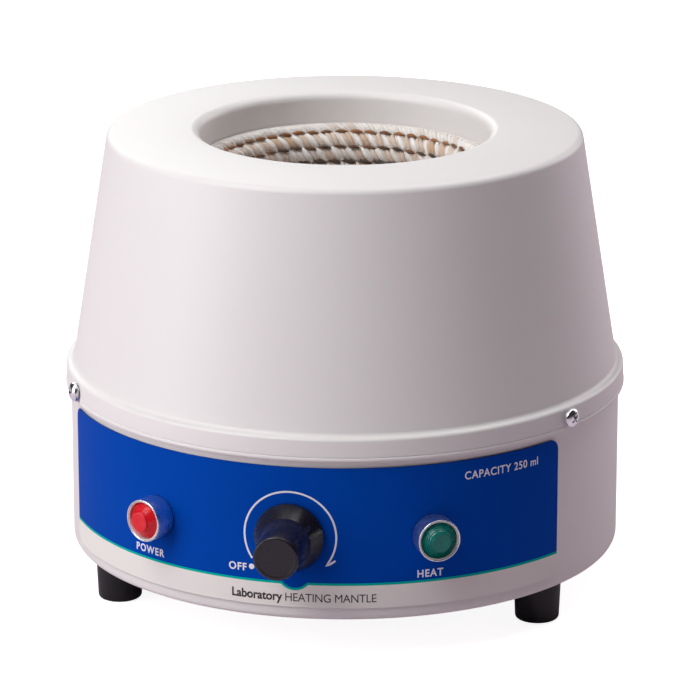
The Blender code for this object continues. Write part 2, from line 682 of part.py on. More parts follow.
def make_can(wool, steel):
    """The metal can and the insulation blanket that fills it round the nest."""
    bore = arc(0, FLASK_CENTRE, BLANKET_BORE, radians(-90), 0.0, 7)
    bore[0].x = 0.0
    bottom = FLASK_CENTRE - BLANKET_RADIUS
    top = FLASK_CENTRE + NEST_RIM_RISE / 4
    shell = rounded([
        (BLANKET_BORE, top, 0),
        (BLANKET_RADIUS, top, 0),
        (BLANKET_RADIUS, bottom, CAN_EDGE_ROUND),
        (0, bottom, 0),
    ])
    blanket = turned("insulation_blanket", [*bore, *shell], wool, BOWL)
    rim = FLASK_CENTRE + NEST_RIM_RISE / 2
    outline = rounded([
        (0, CAN_BOTTOM + CAN_WALL, 0),
        (CAN_RADIUS - CAN_WALL, CAN_BOTTOM + CAN_WALL, CAN_EDGE_ROUND),
        (CAN_RADIUS - CAN_WALL, rim, 0),
        (CAN_RADIUS, rim, 0),
        (CAN_RADIUS, CAN_BOTTOM, CAN_EDGE_ROUND + CAN_WALL),
        (0, CAN_BOTTOM, 0),
    ])
    can = turned("inner_can", outline, steel, BOWL)
    outline = [(0, SHIELD_BOTTOM + SHIELD_WALL), (CAN_RADIUS, SHIELD_BOTTOM + SHIELD_WALL),
               (CAN_RADIUS, SHIELD_BOTTOM), (0, SHIELD_BOTTOM)]
    shield = turned("heat_shield", outline, steel, MEDIUM)
    cut(blanket, *LEAD_HOLES)
    cut(can, *LEAD_HOLES)
    cut(shield, *LEAD_HOLES, *NECK_HOLES)


def make_pillar(side, azimuth, steel, zinc):
    """A stepped pillar: the heat shield rests on its step and the can is welded to its top."""
    place = on_base(azimuth, PILLAR_CIRCLE)
    foot = PLATE_TOP + GAP
    thread = M4_SHANK + HOLE_PLAY
    outline = [
        (0, CAN_BOTTOM - GAP),
        (PILLAR_NECK_RADIUS, CAN_BOTTOM - GAP),
        (PILLAR_NECK_RADIUS, SHIELD_BOTTOM - GAP),
        (PILLAR_RADIUS, SHIELD_BOTTOM - GAP),
        (PILLAR_RADIUS, foot),
        (thread, foot),
        (thread, foot + PILLAR_THREAD_DEPTH),
        (0, foot + PILLAR_THREAD_DEPTH),
    ]
    turned("pillar_" + side, outline, steel, SMALL, place)
    head_base = PLATE_BOTTOM - GAP
    length = foot + PILLAR_THREAD_DEPTH - M4_END_ROOM - head_base
    pan_screw("pillar_screw_" + side, -head_base, length, zinc, place @ Matrix.Rotation(pi, 4, "X"))


# Electronics

def make_electronics(steel, laminate, case, ceramic):
    """The control board on its bracket, the triac behind it, and the ceramic terminal block."""
    floor = PLATE_TOP + GAP
    x, y = BRACKET_PLACE
    centre = Vector((x, y, floor + BRACKET_SIZE.z / 2))
    bracket = block("board_bracket", BRACKET_SIZE, centre, steel)
    shift = Vector((0, BRACKET_SIZE.y / 2 + BRACKET_WALL, BRACKET_SIZE.z / 2 + BRACKET_WALL))
    waste = boxes("waste", BRACKET_SIZE * 2, [Matrix.Translation(centre + shift)])
    cut(bracket, cutter("bracket_waste", waste, Matrix()))

    upright = y - BRACKET_SIZE.y / 2
    board_y = upright - BOARD_STANDOFF - BOARD_SIZE.y / 2
    board_z = centre.z + BOARD_LIFT
    block("control_board", BOARD_SIZE, Vector((x, board_y, board_z)), laminate)
    cap_y = board_y - BOARD_SIZE.y / 2 - GAP - CAPACITOR_SIZE.y / 2
    block("filter_capacitor", CAPACITOR_SIZE, Vector((x, cap_y, board_z)), case)
    triac_y = upright + BRACKET_WALL + GAP + TRIAC_SIZE.y / 2
    block("triac", TRIAC_SIZE, Vector((x, triac_y, board_z)), case)
    terminal_z = floor + TERMINAL_SIZE.z / 2
    block("terminal_block", TERMINAL_SIZE, Vector((*TERMINAL_PLACE, terminal_z)), ceramic)


def make_lead(number, end, sleeve):
    """A heater lead: up from the terminal block, across, and through the can to the wire."""
    spread = LEAD_PLACES[1].x - LEAD_PLACES[0].x
    start_x = TERMINAL_PLACE.x + (number - 0.5) * spread
    start = Vector((start_x, TERMINAL_PLACE.y, PLATE_TOP + 2 * GAP + TERMINAL_SIZE.z))
    bend = Vector((end.x, end.y, SHIELD_BOTTOM - LEAD_STRAIGHT))
    rise = Vector((0, 0, (bend.z - start.z) * 0.7))
    points = []
    for step in range(LEAD_STEPS + 1):
        t = step / LEAD_STEPS
        points.append(start * (1 - t) ** 3 + (start + rise) * 3 * t * (1 - t) ** 2
                      + (bend - rise) * 3 * t ** 2 * (1 - t) + bend * t ** 3)
    bore_depth = sqrt(BLANKET_BORE ** 2 - end.length_squared)
    points.append(Vector((end.x, end.y, FLASK_CENTRE - bore_depth - 2 * LEAD_RADIUS)))
    curve = bpy.data.curves.new("heater_lead", "CURVE")
    curve.dimensions = "3D"
    curve.bevel_depth = LEAD_RADIUS
    curve.bevel_resolution = 1
    curve.use_fill_caps = True
    spline = curve.splines.new("POLY")
    spline.points.add(len(points) - 1)
    for point, place in zip(spline.points, points):
        point.co = (*place, 1)
    add_piece("heater_lead_" + str(number + 1), curve, sleeve)


# Rear fittings

def make_gland(plastic, rubber):
    """The cable gland: body through the wall, dome nut and seal outside, lock nut inside."""
    place = on_wall(GLAND_AZIMUTH, HOUSING_BOTTOM + GLAND_HEIGHT)
    base = HOUSING_RADIUS + GAP
    flange = base + GLAND_HEX_HEIGHT
    front = HOUSING_RADIUS + GLAND_REACH
    thread_end = flange + GLAND_THREAD
    body = add_piece("gland_body", prism(GLAND_HEX_FLATS / 2 / cos(pi / 6), base, flange, 6), plastic, place)
    neck = cutter("gland_neck", prism(GLAND_NECK_RADIUS, base - GLAND_INSIDE, thread_end, SMALL), place)
    cut(body, neck, operation="UNION")
    cut(body, hole("gland_bore", GLAND_BORE, base - 2 * GLAND_INSIDE, front, place))
    cavity = GLAND_NECK_RADIUS + HOLE_PLAY
    cavity_end = thread_end + GLAND_SEAL_LENGTH + 3 * GAP
    outline = rounded([
        (GLAND_BORE, front, 0),
        (GLAND_BORE + GLAND_NUT_LIP, front, 0.5 * MM),
        (GLAND_NUT_RADIUS, front - GLAND_NUT_TAPER, GLAND_NUT_ROUND),
        (GLAND_NUT_RADIUS, flange + GAP, 0),
        (cavity, flange + GAP, 0),
        (cavity, cavity_end, 0),
        (GLAND_BORE, cavity_end + 3 * MM, 0),
    ], steps=3)
    turned("gland_dome_nut", outline, plastic, SMALL, place)
    seal_low = thread_end + GAP
    outline = [
        (GLAND_BORE, seal_low + GLAND_SEAL_LENGTH),
        (GLAND_NECK_RADIUS - GAP, seal_low + GLAND_SEAL_LENGTH),
        (GLAND_NECK_RADIUS - GAP, seal_low),
        (GLAND_BORE, seal_low),
    ]
    turned("gland_seal", outline, rubber, SMALL, place)
    seat = wall_seat(GLAND_HEX_FLATS / 2 / cos(pi / 6))
    hex_nut("gland_lock_nut", GLAND_HEX_FLATS, seat - REAR_NUT_HEIGHT, seat,
            GLAND_NECK_RADIUS + HOLE_PLAY, plastic, place)


def make_fuse_holder(plastic, glass):
    """The panel fuse holder, with the bayonet carrier that turns out with the fuse."""
    place = on_wall(FUSE_AZIMUTH, CONTROL_Z)
    base = HOUSING_RADIUS + GAP
    flange = base + FUSE_FLANGE_HEIGHT
    end = base - FUSE_LENGTH
    outline = rounded([
        (0, end + FUSE_END_WALL, 0),
        (FUSE_BORE, end + FUSE_END_WALL, 0),
        (FUSE_BORE, flange, 0),
        (FUSE_FLANGE_RADIUS, flange, 0.6 * MM),
        (FUSE_FLANGE_RADIUS, base, 0),
        (FUSE_NECK_RADIUS, base, 0),
        (FUSE_NECK_RADIUS, end, 0),
        (0, end, 0),
    ])
    turned("fuse_holder", outline, plastic, SMALL, place)
    seat = wall_seat(FUSE_NUT_FLATS / 2 / cos(pi / 6))
    hex_nut("fuse_holder_nut", FUSE_NUT_FLATS, seat - REAR_NUT_HEIGHT, seat,
            FUSE_NECK_RADIUS + HOLE_PLAY, plastic, place)
    cap_base = flange + GAP
    cap_top = cap_base + FUSE_CAP_HEIGHT
    stem_end = base - FUSE_STEM_LENGTH
    outline = rounded([
        (0, cap_top, 0),
        (FUSE_CAP_RADIUS, cap_top, 0.8 * MM),
        (FUSE_CAP_RADIUS, cap_base, 0),
        (FUSE_STEM_RADIUS, cap_base, 0),
        (FUSE_STEM_RADIUS, stem_end, 0),
        (0, stem_end, 0),
    ])
    carrier = turned("fuse_carrier", outline, plastic, SMALL, place)
    size = (FUSE_SLOT_WIDTH, 1.3 * FUSE_CAP_RADIUS, 2 * FUSE_SLOT_DEPTH)
    slot = boxes("slot", size, [Matrix.Translation((0, 0, cap_top))])
    cut(carrier, cutter("fuse_slot", slot, place))
    fuse_top = stem_end - GAP
    fuse_end = end + FUSE_END_WALL + GAP
    outline = [(0, fuse_top), (FUSE_LINK_RADIUS, fuse_top), (FUSE_LINK_RADIUS, fuse_end), (0, fuse_end)]
    turned("fuse_link", outline, glass, SMALL, place)


clear_scene()
PIECES = new_collection("heating_mantle")
CUTTERS = new_collection("cutters")

SCREW_HOLES = [hole("band_screw_" + str(index), M4_SHANK + HOLE_PLAY, HOUSING_RADIUS - HOLE_REACH,
                    BAND_RADIUS + HOLE_REACH, on_wall(azimuth, SCREW_Z))
               for index, azimuth in enumerate(SCREW_AZIMUTHS)]
PANEL_HOLES = [hole(kind + "_lamp", LAMP_NECK_RADIUS + HOLE_PLAY, HOUSING_RADIUS - HOLE_REACH,
                    LABEL_RADIUS + HOLE_REACH, on_wall(azimuth, CONTROL_Z))
               for kind, azimuth in LAMP_AZIMUTHS.items()]
PANEL_HOLES.append(hole("bushing", BUSHING_RADIUS + HOLE_PLAY, HOUSING_RADIUS - HOLE_REACH,
                        LABEL_RADIUS + HOLE_REACH, on_wall(0.0, CONTROL_Z)))
REAR_HOLES = [
    hole("gland", GLAND_NECK_RADIUS + HOLE_PLAY, HOUSING_RADIUS - HOLE_REACH, HOUSING_RADIUS + HOLE_REACH,
         on_wall(GLAND_AZIMUTH, HOUSING_BOTTOM + GLAND_HEIGHT)),
    hole("fuse", FUSE_NECK_RADIUS + HOLE_PLAY, HOUSING_RADIUS - HOLE_REACH, HOUSING_RADIUS + HOLE_REACH,
         on_wall(FUSE_AZIMUTH, CONTROL_Z)),
]
FOOT_HOLES = [hole("foot_" + str(index), M4_SHANK + HOLE_PLAY, 0, PLATE_TOP + HOLE_REACH,
                   on_base(azimuth, FOOT_CIRCLE))
              for index, azimuth in enumerate(FOOT_AZIMUTHS)]
PILLAR_HOLES = [hole("pillar_" + str(index), M4_SHANK + HOLE_PLAY, 0, PLATE_TOP + HOLE_REACH,
                     on_base(azimuth, PILLAR_CIRCLE))
                for index, azimuth in enumerate(PILLAR_AZIMUTHS)]
NECK_HOLES = [hole("neck_" + str(index), PILLAR_NECK_RADIUS + HOLE_PLAY, SHIELD_BOTTOM - HOLE_REACH,
                   SHIELD_BOTTOM + HOLE_REACH, on_base(azimuth, PILLAR_CIRCLE))
              for index, azimuth in enumerate(PILLAR_AZIMUTHS)]
LEAD_HOLES = [hole("lead_" + str(index), LEAD_RADIUS + 3 * HOLE_PLAY, SHIELD_BOTTOM - HOLE_REACH,
                   FLASK_CENTRE, Matrix.Translation((place.x, place.y, 0)))
              for index, place in enumerate(LEAD_PLACES)]

off_white = new_finish("off_white_paint", (0.78, 0.76, 0.74), 0.45)
blue_film = new_finish("blue_printed_film", (0.0, 0.05, 0.32), 0.3)
black_plastic = new_finish("black_moulded_plastic", (0.012, 0.011, 0.014), 0.35)
black_rubber = new_finish("black_rubber", (0.012, 0.012, 0.013), 0.6)
bright_zinc = new_finish("bright_zinc", (0.72, 0.74, 0.78), 0.25, 1.0)
plated_steel = new_finish("plated_steel", (0.55, 0.56, 0.58), 0.35, 1.0)
chrome = new_finish("chrome", (0.85, 0.86, 0.9), 0.08, 1.0)
red_lens = new_finish("red_lens", (0.72, 0.02, 0.03), 0.12)
green_lens = new_finish("green_lens", (0.0, 0.28, 0.16), 0.12)
glass_fibre = new_finish("glass_fibre_yarn", (0.8, 0.74, 0.66), 0.7)
glass_wool = new_finish("glass_wool", (0.78, 0.72, 0.52), 0.9)
resistance_wire = new_finish("resistance_wire", (0.35, 0.33, 0.32), 0.4, 1.0)
board_green = new_finish("board_laminate", (0.02, 0.16, 0.06), 0.4)
ceramic = new_finish("ceramic", (0.82, 0.8, 0.76), 0.35)
sleeve = new_finish("lead_sleeve", (0.75, 0.72, 0.66), 0.6)
fuse_glass = new_finish("fuse_glass", (0.8, 0.82, 0.82), 0.1)

make_cover(off_white)
make_housing(off_white)
make_bottom_plate(plated_steel)
make_label(blue_film)
for side, foot_azimuth in zip(("left", "right", "rear"), FOOT_AZIMUTHS):
    make_foot(side, foot_azimuth, black_rubber, bright_zinc)
for side, screw_azimuth in zip(("left", "right", "rear"), SCREW_AZIMUTHS):
    make_band_screw(side, screw_azimuth, bright_zinc)
make_knob(black_plastic, plated_steel)
make_potentiometer(black_plastic, plated_steel)
make_lamp("power", LAMP_AZIMUTHS["power"], chrome, red_lens, black_plastic, plated_steel)
make_lamp("heat", LAMP_AZIMUTHS["heat"], chrome, green_lens, black_plastic, plated_steel)
make_nest(glass_fibre, plated_steel)
make_heating_wire(resistance_wire)
make_can(glass_wool, plated_steel)
for side, pillar_azimuth in zip(("left", "right", "rear"), PILLAR_AZIMUTHS):
    make_pillar(side, pillar_azimuth, plated_steel, bright_zinc)
make_electronics(plated_steel, board_green, black_plastic, ceramic)
for lead_number, lead_end in enumerate(LEAD_PLACES):
    make_lead(lead_number, lead_end, sleeve)
make_gland(black_plastic, black_rubber)
make_fuse_holder(black_plastic, fuse_glass)
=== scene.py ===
"""Looks of an electric heating mantle for a round bottom flask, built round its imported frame.

The mantle is made here in the order it is put together, from the bottom plate to the knob and the feet.
Lengths are in metres, +Z is up, the front faces -Y, and the origin is on the floor under the middle.
"""

import json
from math import acos, asin, atan2, cos, pi, radians, sin, sqrt, tan

import bmesh
import bpy
from mathutils import Matrix, Vector

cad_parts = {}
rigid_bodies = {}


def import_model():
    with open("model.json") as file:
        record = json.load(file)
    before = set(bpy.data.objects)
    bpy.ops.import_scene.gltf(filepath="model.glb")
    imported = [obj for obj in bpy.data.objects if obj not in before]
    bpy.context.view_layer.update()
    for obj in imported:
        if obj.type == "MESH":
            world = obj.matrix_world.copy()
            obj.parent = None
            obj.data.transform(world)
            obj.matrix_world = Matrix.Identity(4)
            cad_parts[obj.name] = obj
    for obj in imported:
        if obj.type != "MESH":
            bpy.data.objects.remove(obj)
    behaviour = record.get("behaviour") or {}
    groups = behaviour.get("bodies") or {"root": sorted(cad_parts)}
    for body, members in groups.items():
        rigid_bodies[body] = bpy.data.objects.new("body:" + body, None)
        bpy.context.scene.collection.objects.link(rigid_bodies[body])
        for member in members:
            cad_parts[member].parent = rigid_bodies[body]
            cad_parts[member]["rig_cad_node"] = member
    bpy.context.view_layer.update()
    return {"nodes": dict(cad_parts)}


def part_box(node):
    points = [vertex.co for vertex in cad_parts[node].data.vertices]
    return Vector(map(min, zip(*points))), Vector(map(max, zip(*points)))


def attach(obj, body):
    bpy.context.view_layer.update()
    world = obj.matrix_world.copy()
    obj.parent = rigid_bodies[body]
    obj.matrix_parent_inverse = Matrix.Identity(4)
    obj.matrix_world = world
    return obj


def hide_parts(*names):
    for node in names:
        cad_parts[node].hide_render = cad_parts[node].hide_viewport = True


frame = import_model()
mm = 0.001


# Camera, floor and light. A long lens looks down on the mantle from a little to its right. It stands on a
# pale studio sweep: two large soft boxes on its left, two overhead, and weaker light from behind.


def linked(name, data):
    """A new object in the scene."""
    item = bpy.data.objects.new(name, data)
    bpy.context.scene.collection.objects.link(item)
    return item


def mesh_of(shape, name):
    """A mesh made from a bmesh, which is then freed."""
    mesh = bpy.data.meshes.new(name)
    shape.to_mesh(mesh)
    shape.free()
    return mesh


camera_azimuth = radians(11.0)
camera_reach = 1.4804
camera_height = 0.5324
camera_pitch = radians(90 - 16.924)
camera_yaw = radians(10.93)
camera = linked("camera", bpy.data.cameras.new("camera"))
camera.data.lens = 221.7
camera.data.sensor_width = 36.0
camera.location = (camera_reach * sin(camera_azimuth), -camera_reach * cos(camera_azimuth), camera_height)
camera.rotation_euler = (camera_pitch, 0, camera_yaw)
bpy.context.scene.camera = camera
bpy.context.scene.view_settings.view_transform = "Standard"


def soft_box(name, azimuth, distance, height, size, power, colour=(1.0, 1.0, 1.0)):
    """A square area light aimed at the mantle, at an azimuth from the mantle's front."""
    light = bpy.data.lights.new(name, "AREA")
    light.size = size
    light.energy = power
    light.color = colour
    lamp = linked(name, light)
    lamp.location = (distance * sin(azimuth), -distance * cos(azimuth), height)
    aim = Vector((0, 0, 0.08)) - lamp.location
    lamp.rotation_mode = "QUATERNION"
    lamp.rotation_quaternion = aim.to_track_quat("-Z", "Y")


soft_box("key_left", radians(-58), 1.5, 0.3, 1.0, 10.0)
soft_box("key_high_left", radians(-42), 1.1, 1.35, 1.0, 18.0)
soft_box("overhead", radians(10), 0.2, 1.7, 1.4, 6.5)
soft_box("overhead_back", radians(150), 0.75, 1.55, 1.2, 8.5)
soft_box("rim_right", radians(142), 1.6, 0.6, 0.9, 8.0, (1.0, 0.90, 0.95))
soft_box("rim_left", radians(-150), 1.6, 0.9, 1.0, 7.0)

sky = bpy.data.worlds.new("studio")
bpy.context.scene.world = sky
sky.use_nodes = True
sky.node_tree.nodes["Background"].inputs["Color"].default_value = (1.0, 0.98, 0.99, 1.0)
sky.node_tree.nodes["Background"].inputs["Strength"].default_value = 0.022

shape = bmesh.new()
bmesh.ops.create_grid(shape, x_segments=1, y_segments=1, size=6.0)
floor = linked("floor", mesh_of(shape, "floor"))
floor.location.z = -0.0002
pale = bpy.data.materials.new("pale_floor")
pale.use_nodes = True
pale_nodes = pale.node_tree.nodes
pale_links = pale.node_tree.links
pale_nodes["Principled BSDF"].inputs["Base Color"].default_value = (0.60, 0.50, 0.56, 1.0)
pale_nodes["Principled BSDF"].inputs["Roughness"].default_value = 0.9
backdrop_glow = pale_nodes.new("ShaderNodeEmission")
backdrop_glow.inputs["Strength"].default_value = 0.90
glow_for_camera = pale_nodes.new("ShaderNodeMixShader")
seen = pale_nodes.new("ShaderNodeLightPath")
both = pale_nodes.new("ShaderNodeAddShader")
pale_links.new(pale_nodes["Principled BSDF"].outputs[0], both.inputs[0])
pale_links.new(backdrop_glow.outputs[0], both.inputs[1])
pale_links.new(seen.outputs["Is Camera Ray"], glow_for_camera.inputs[0])
pale_links.new(pale_nodes["Principled BSDF"].outputs[0], glow_for_camera.inputs[1])
pale_links.new(both.outputs[0], glow_for_camera.inputs[2])
pale_links.new(glow_for_camera.outputs[0], pale_nodes["Material Output"].inputs["Surface"])
floor.data.materials.append(pale)


# Bottom plate. A zinc-plated steel disc that closes the housing from inside, held by the feet's screws. It
# is pressed with a ring of cooling slots, each with a raised rolled rim.


class Value:
    """A socket of a node tree. Arithmetic on it adds Math nodes."""

    def __init__(self, tree, socket):
        self.tree = tree
        self.socket = socket

    def maths(self, operation, first, second=0.0):
        made = self.tree.nodes.new("ShaderNodeMath")
        made.operation = operation
        for socket, term in zip(made.inputs, (first, second)):
            if isinstance(term, Value):
                self.tree.links.new(term.socket, socket)
            else:
                socket.default_value = term
        return Value(self.tree, made.outputs[0])

    def __add__(self, other):
        return self.maths("ADD", self, other)

    def __sub__(self, other):
        return self.maths("SUBTRACT", self, other)

    def __rsub__(self, other):
        return self.maths("SUBTRACT", other, self)

    def __mul__(self, other):
        return self.maths("MULTIPLY", self, other)

    def __truediv__(self, other):
        return self.maths("DIVIDE", self, other)

    def __rtruediv__(self, other):
        return self.maths("DIVIDE", other, self)

    __radd__ = __add__
    __rmul__ = __mul__

    def sine(self):
        return self.maths("SINE", self)

    def limited(self):
        return self.maths("MINIMUM", self.maths("MAXIMUM", self, 0.0), 1.0)


class NodeTree:
    """A node tree being written, with one method that adds any node."""

    def __init__(self, tree):
        self.tree = tree

    def feed(self, node, inputs):
        for key, value in inputs.items():
            socket = node.inputs[key]
            if isinstance(value, Value):
                self.tree.links.new(value.socket, socket)
            elif socket.type == "RGBA":
                socket.default_value = (*value, 1.0)
            else:
                socket.default_value = value

    def node(self, kind, output, inputs=None, **settings):
        made = self.tree.nodes.new(kind)
        for key, value in settings.items():
            setattr(made, key, value)
        self.feed(made, inputs or {})
        return Value(self.tree, made.outputs[output])


class Finish(NodeTree):
    """A surface finish: a material with one Principled shader, patterned over the piece."""

    def __init__(self, name, colour, roughness, **constants):
        self.material = bpy.data.materials.new(name)
        self.material.use_nodes = True
        super().__init__(self.material.node_tree)
        self.shader = self.tree.nodes["Principled BSDF"]
        self.feed(self.shader, {"Base Color": colour, "Roughness": roughness})
        self.feed(self.shader, {key.replace("_", " "): value for key, value in constants.items()})
        self.place = self.node("ShaderNodeTexCoord", "Object")

    def stretched(self, x, y, z, turn=0.0):
        return self.node("ShaderNodeMapping", 0, {"Vector": self.place, "Scale": (x, y, z),
                                                  "Rotation": (0.0, 0.0, turn)})

    def noise(self, scale, detail=2.0, at=None):
        return self.node("ShaderNodeTexNoise", 0, {
            "Vector": at or self.place, "Scale": scale, "Detail": detail})

    def mix(self, share, first, second):
        return self.node("ShaderNodeMix", 2, {0: share, 6: first, 7: second}, data_type="RGBA")

    def attribute(self, name, output="Fac"):
        return self.node("ShaderNodeAttribute", output, attribute_name=name)

    def surface(self, colour=None, roughness=None, height=None, depth=0.0):
        """Feed what changes over the surface to the shader."""
        if colour:
            self.feed(self.shader, {"Base Color": colour})
        if roughness:
            self.feed(self.shader, {"Roughness": roughness})
        if height:
            normal = self.node("ShaderNodeBump", "Normal", {
                "Height": height, "Distance": depth, "Strength": 1.0})
            self.feed(self.shader, {"Normal": normal})
        return self


def plated_finish(name, colour, roughness):
    """Rolled steel sheet under thin zinc: fine rolling lines and a mottled, slightly worn brightness."""
    steel = Finish(name, colour, roughness, Metallic=1.0)
    lines = steel.noise(9000.0, 1.0, steel.stretched(0.03, 1.0, 1.0))
    cloud = steel.noise(70.0, 4.0)
    dark = tuple(channel * 0.78 for channel in colour)
    return steel.surface(
        colour=steel.mix((cloud * 0.7 + lines * 0.3).limited(), dark, colour),
        roughness=(cloud * 0.2 + lines * 0.12 + (roughness - 0.14)).limited(),
        height=lines, depth=0.004 * mm)


def keep(finish, slot, *nodes):
    """CAD nodes whose shape is right keep it and get a finish."""
    for name in nodes:
        node = frame["nodes"][name]
        node.data.materials.clear()
        node.data.materials.append(finish.material)


def bake(source):
    """The evaluated mesh of an object, which is then removed."""
    bpy.context.view_layer.update()
    graph = bpy.context.evaluated_depsgraph_get()
    mesh = bpy.data.meshes.new_from_object(source.evaluated_get(graph), depsgraph=graph)
    bpy.data.objects.remove(source)
    return mesh


def fit(name, mesh, finish, slot, *nodes, body="mantle", smooth=35.0):
    """A finished piece: smooth, at the origin, riding on its body, in place of its CAD nodes."""
    mesh.name = name
    mesh.shade_smooth()
    mesh.set_sharp_from_angle(angle=radians(smooth))
    if finish:
        mesh.materials.clear()
        mesh.materials.append(finish.material)
    piece = linked(name, mesh)
    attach(piece, body)
    if nodes:
        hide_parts(*nodes)
    return piece


class Pattern(NodeTree):
    """A Geometry Nodes tree with named inputs, which repeats a small shape along a rule."""

    kinds = {"float": "NodeSocketFloat", "int": "NodeSocketInt", "Object": "NodeSocketObject",
             "Material": "NodeSocketMaterial"}

    def __init__(self, name, **inputs):
        super().__init__(bpy.data.node_groups.new(name, "GeometryNodeTree"))
        self.values = inputs
        for key, value in inputs.items():
            kind = self.kinds[type(value).__name__]
            self.tree.interface.new_socket(key, in_out="INPUT", socket_type=kind)
        self.tree.interface.new_socket("Geometry", in_out="OUTPUT", socket_type="NodeSocketGeometry")
        source = self.tree.nodes.new("NodeGroupInput")
        self.given = {key: Value(self.tree, source.outputs[key]) for key in inputs}

    def repeated(self, points, turn, size=None, tint=None):
        """Instances of the shape on points, made real, with a random tint each and the finish."""
        shape = self.node("GeometryNodeObjectInfo", "Geometry", {"Object": self.given["Shape"]})
        rotation = self.node("FunctionNodeEulerToRotation", 0, {0: turn})
        inputs = {"Points": points, "Instance": shape, "Rotation": rotation}
        if size:
            inputs["Scale"] = size
        copies = self.node("GeometryNodeInstanceOnPoints", 0, inputs)
        if tint:
            copies = self.node("GeometryNodeStoreNamedAttribute", 0, {
                "Geometry": copies, "Name": "tint", "Value": tint}, data_type="FLOAT", domain="INSTANCE")
        real = self.node("GeometryNodeRealizeInstances", 0, {0: copies})
        finished = self.node("GeometryNodeSetMaterial", 0, {
            "Geometry": real, "Material": self.given["Finish"]})
        result = self.tree.nodes.new("NodeGroupOutput")
        self.feed(result, {0: finished})

    def made(self, **changes):
        """A mesh of the pattern, with some inputs set to other values."""
        holder = linked("pattern", bpy.data.meshes.new("pattern"))
        modifier = holder.modifiers.new("pattern", "NODES")
        modifier.node_group = self.tree
        for item in self.tree.interface.items_tree:
            if item.in_out == "INPUT":
                modifier[item.identifier] = changes.get(item.name, self.values[item.name])
        return bake(holder)


def hidden(name, mesh):
    """A shape for a pattern or a cut, which isn't shown itself."""
    source = linked(name, mesh)
    source.hide_render = True
    return source


def ring_points(pattern):
    """Points round a pattern's circle, and the turn that puts local X along the circle at each."""
    given = pattern.given
    circle = pattern.node("GeometryNodeMeshCircle", 0, {
        "Vertices": given["Count"], "Radius": given["Circle"]}, fill_type="NONE")
    lift = pattern.node("ShaderNodeCombineXYZ", 0, {"Z": given["Height"]})
    spin = pattern.node("ShaderNodeCombineXYZ", 0, {"Z": given["Phase"]})
    points = pattern.node("GeometryNodeTransform", 0, {
        "Geometry": circle, "Translation": lift, "Rotation": spin})
    index = pattern.node("GeometryNodeInputIndex", 0)
    return points, index * (2 * pi) / given["Count"] + given["Phase"] + pi / 2


def ring_pattern(name, shape, finish, count, circle, height):
    """A Pattern that repeats a shape round a circle, its local X along the circle and Y to the middle."""
    pattern = Pattern(name, Shape=shape, Finish=finish.material, Count=count, Circle=circle,
                      Height=height, Phase=0.0)
    points, angle = ring_points(pattern)
    pattern.repeated(points, pattern.node("ShaderNodeCombineXYZ", 0, {"Z": angle}))
    return pattern


zinc_plate = plated_finish("zinc_plated_sheet", (0.56, 0.57, 0.59), 0.42)
plate_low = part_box("bottom_plate")[0]
keep(zinc_plate, "plated_steel", "bottom_plate")

slot_length = 16.0 * mm
slot_width = 3.0 * mm
slot_circle = 26.0 * mm
slot_count = 16
rim_wire = 0.55 * mm
rim_steps = 24
rim_outline = []
for step in range(rim_steps):
    angle = 2 * pi * step / rim_steps
    end = (slot_length - slot_width) / 2 * (1 if sin(angle) >= 0 else -1)
    rim_outline.append(Vector((slot_width / 2 * cos(angle), end + slot_width / 2 * sin(angle), 0)))


def tube_ring(tube, point, side, up, radius, sides):
    """New vertices of a tube's ring round a point."""
    return [tube.verts.new(point + radius * (side * cos(2 * pi * k / sides) + up * sin(2 * pi * k / sides)))
            for k in range(sides)]


def closed_tube(name, route, radius, sides=8):
    """A mesh of a round bar along a closed route in a flat plane."""
    rod = bmesh.new()
    up = Vector((0, 0, 1))
    rings = []
    for index, point in enumerate(route):
        along = (route[(index + 1) % len(route)] - route[index - 1]).normalized()
        rings.append(tube_ring(rod, point, along.cross(up), up, radius, sides))
    for index, ring in enumerate(rings):
        following = rings[(index + 1) % len(rings)]
        for k in range(sides):
            rod.faces.new((ring[k], ring[(k + 1) % sides], following[(k + 1) % sides], following[k]))
    bmesh.ops.recalc_face_normals(rod, faces=rod.faces[:])
    return mesh_of(rod, name)


slot_rim = hidden("slot_rim", closed_tube("slot_rim", rim_outline, rim_wire))
rims = ring_pattern("slot_rims", slot_rim, zinc_plate, slot_count, slot_circle, plate_low.z)
fit("vent_slot_rims", rims.made(Phase=pi / slot_count), zinc_plate, "plated_steel")


# Lower housing. A drum of 1 mm steel sheet, its bottom edge turned in as a flange, painted with a fine
# off-white powder coat. The holes for the lamps, the control, the cable, the fuse and the band's screws are
# punched before paint.


def powder_coat():
    """Off-white powder coat: faint orange peel, and a trace of warmth where the coat is thin."""
    paint = Finish("off_white_powder_coat", (0.76, 0.735, 0.735), 0.42, Specular_IOR_Level=0.45)
    peel = paint.noise(620.0, 3.0)
    grain = paint.noise(2600.0, 2.0)
    cloud = paint.noise(11.0, 3.0)
    return paint.surface(
        colour=paint.mix(cloud * 0.8 + grain * 0.2, (0.735, 0.705, 0.705), (0.785, 0.765, 0.76)),
        roughness=peel * 0.12 + cloud * 0.06 + 0.33,
        height=peel * 0.75 + grain * 0.25, depth=0.035 * mm)


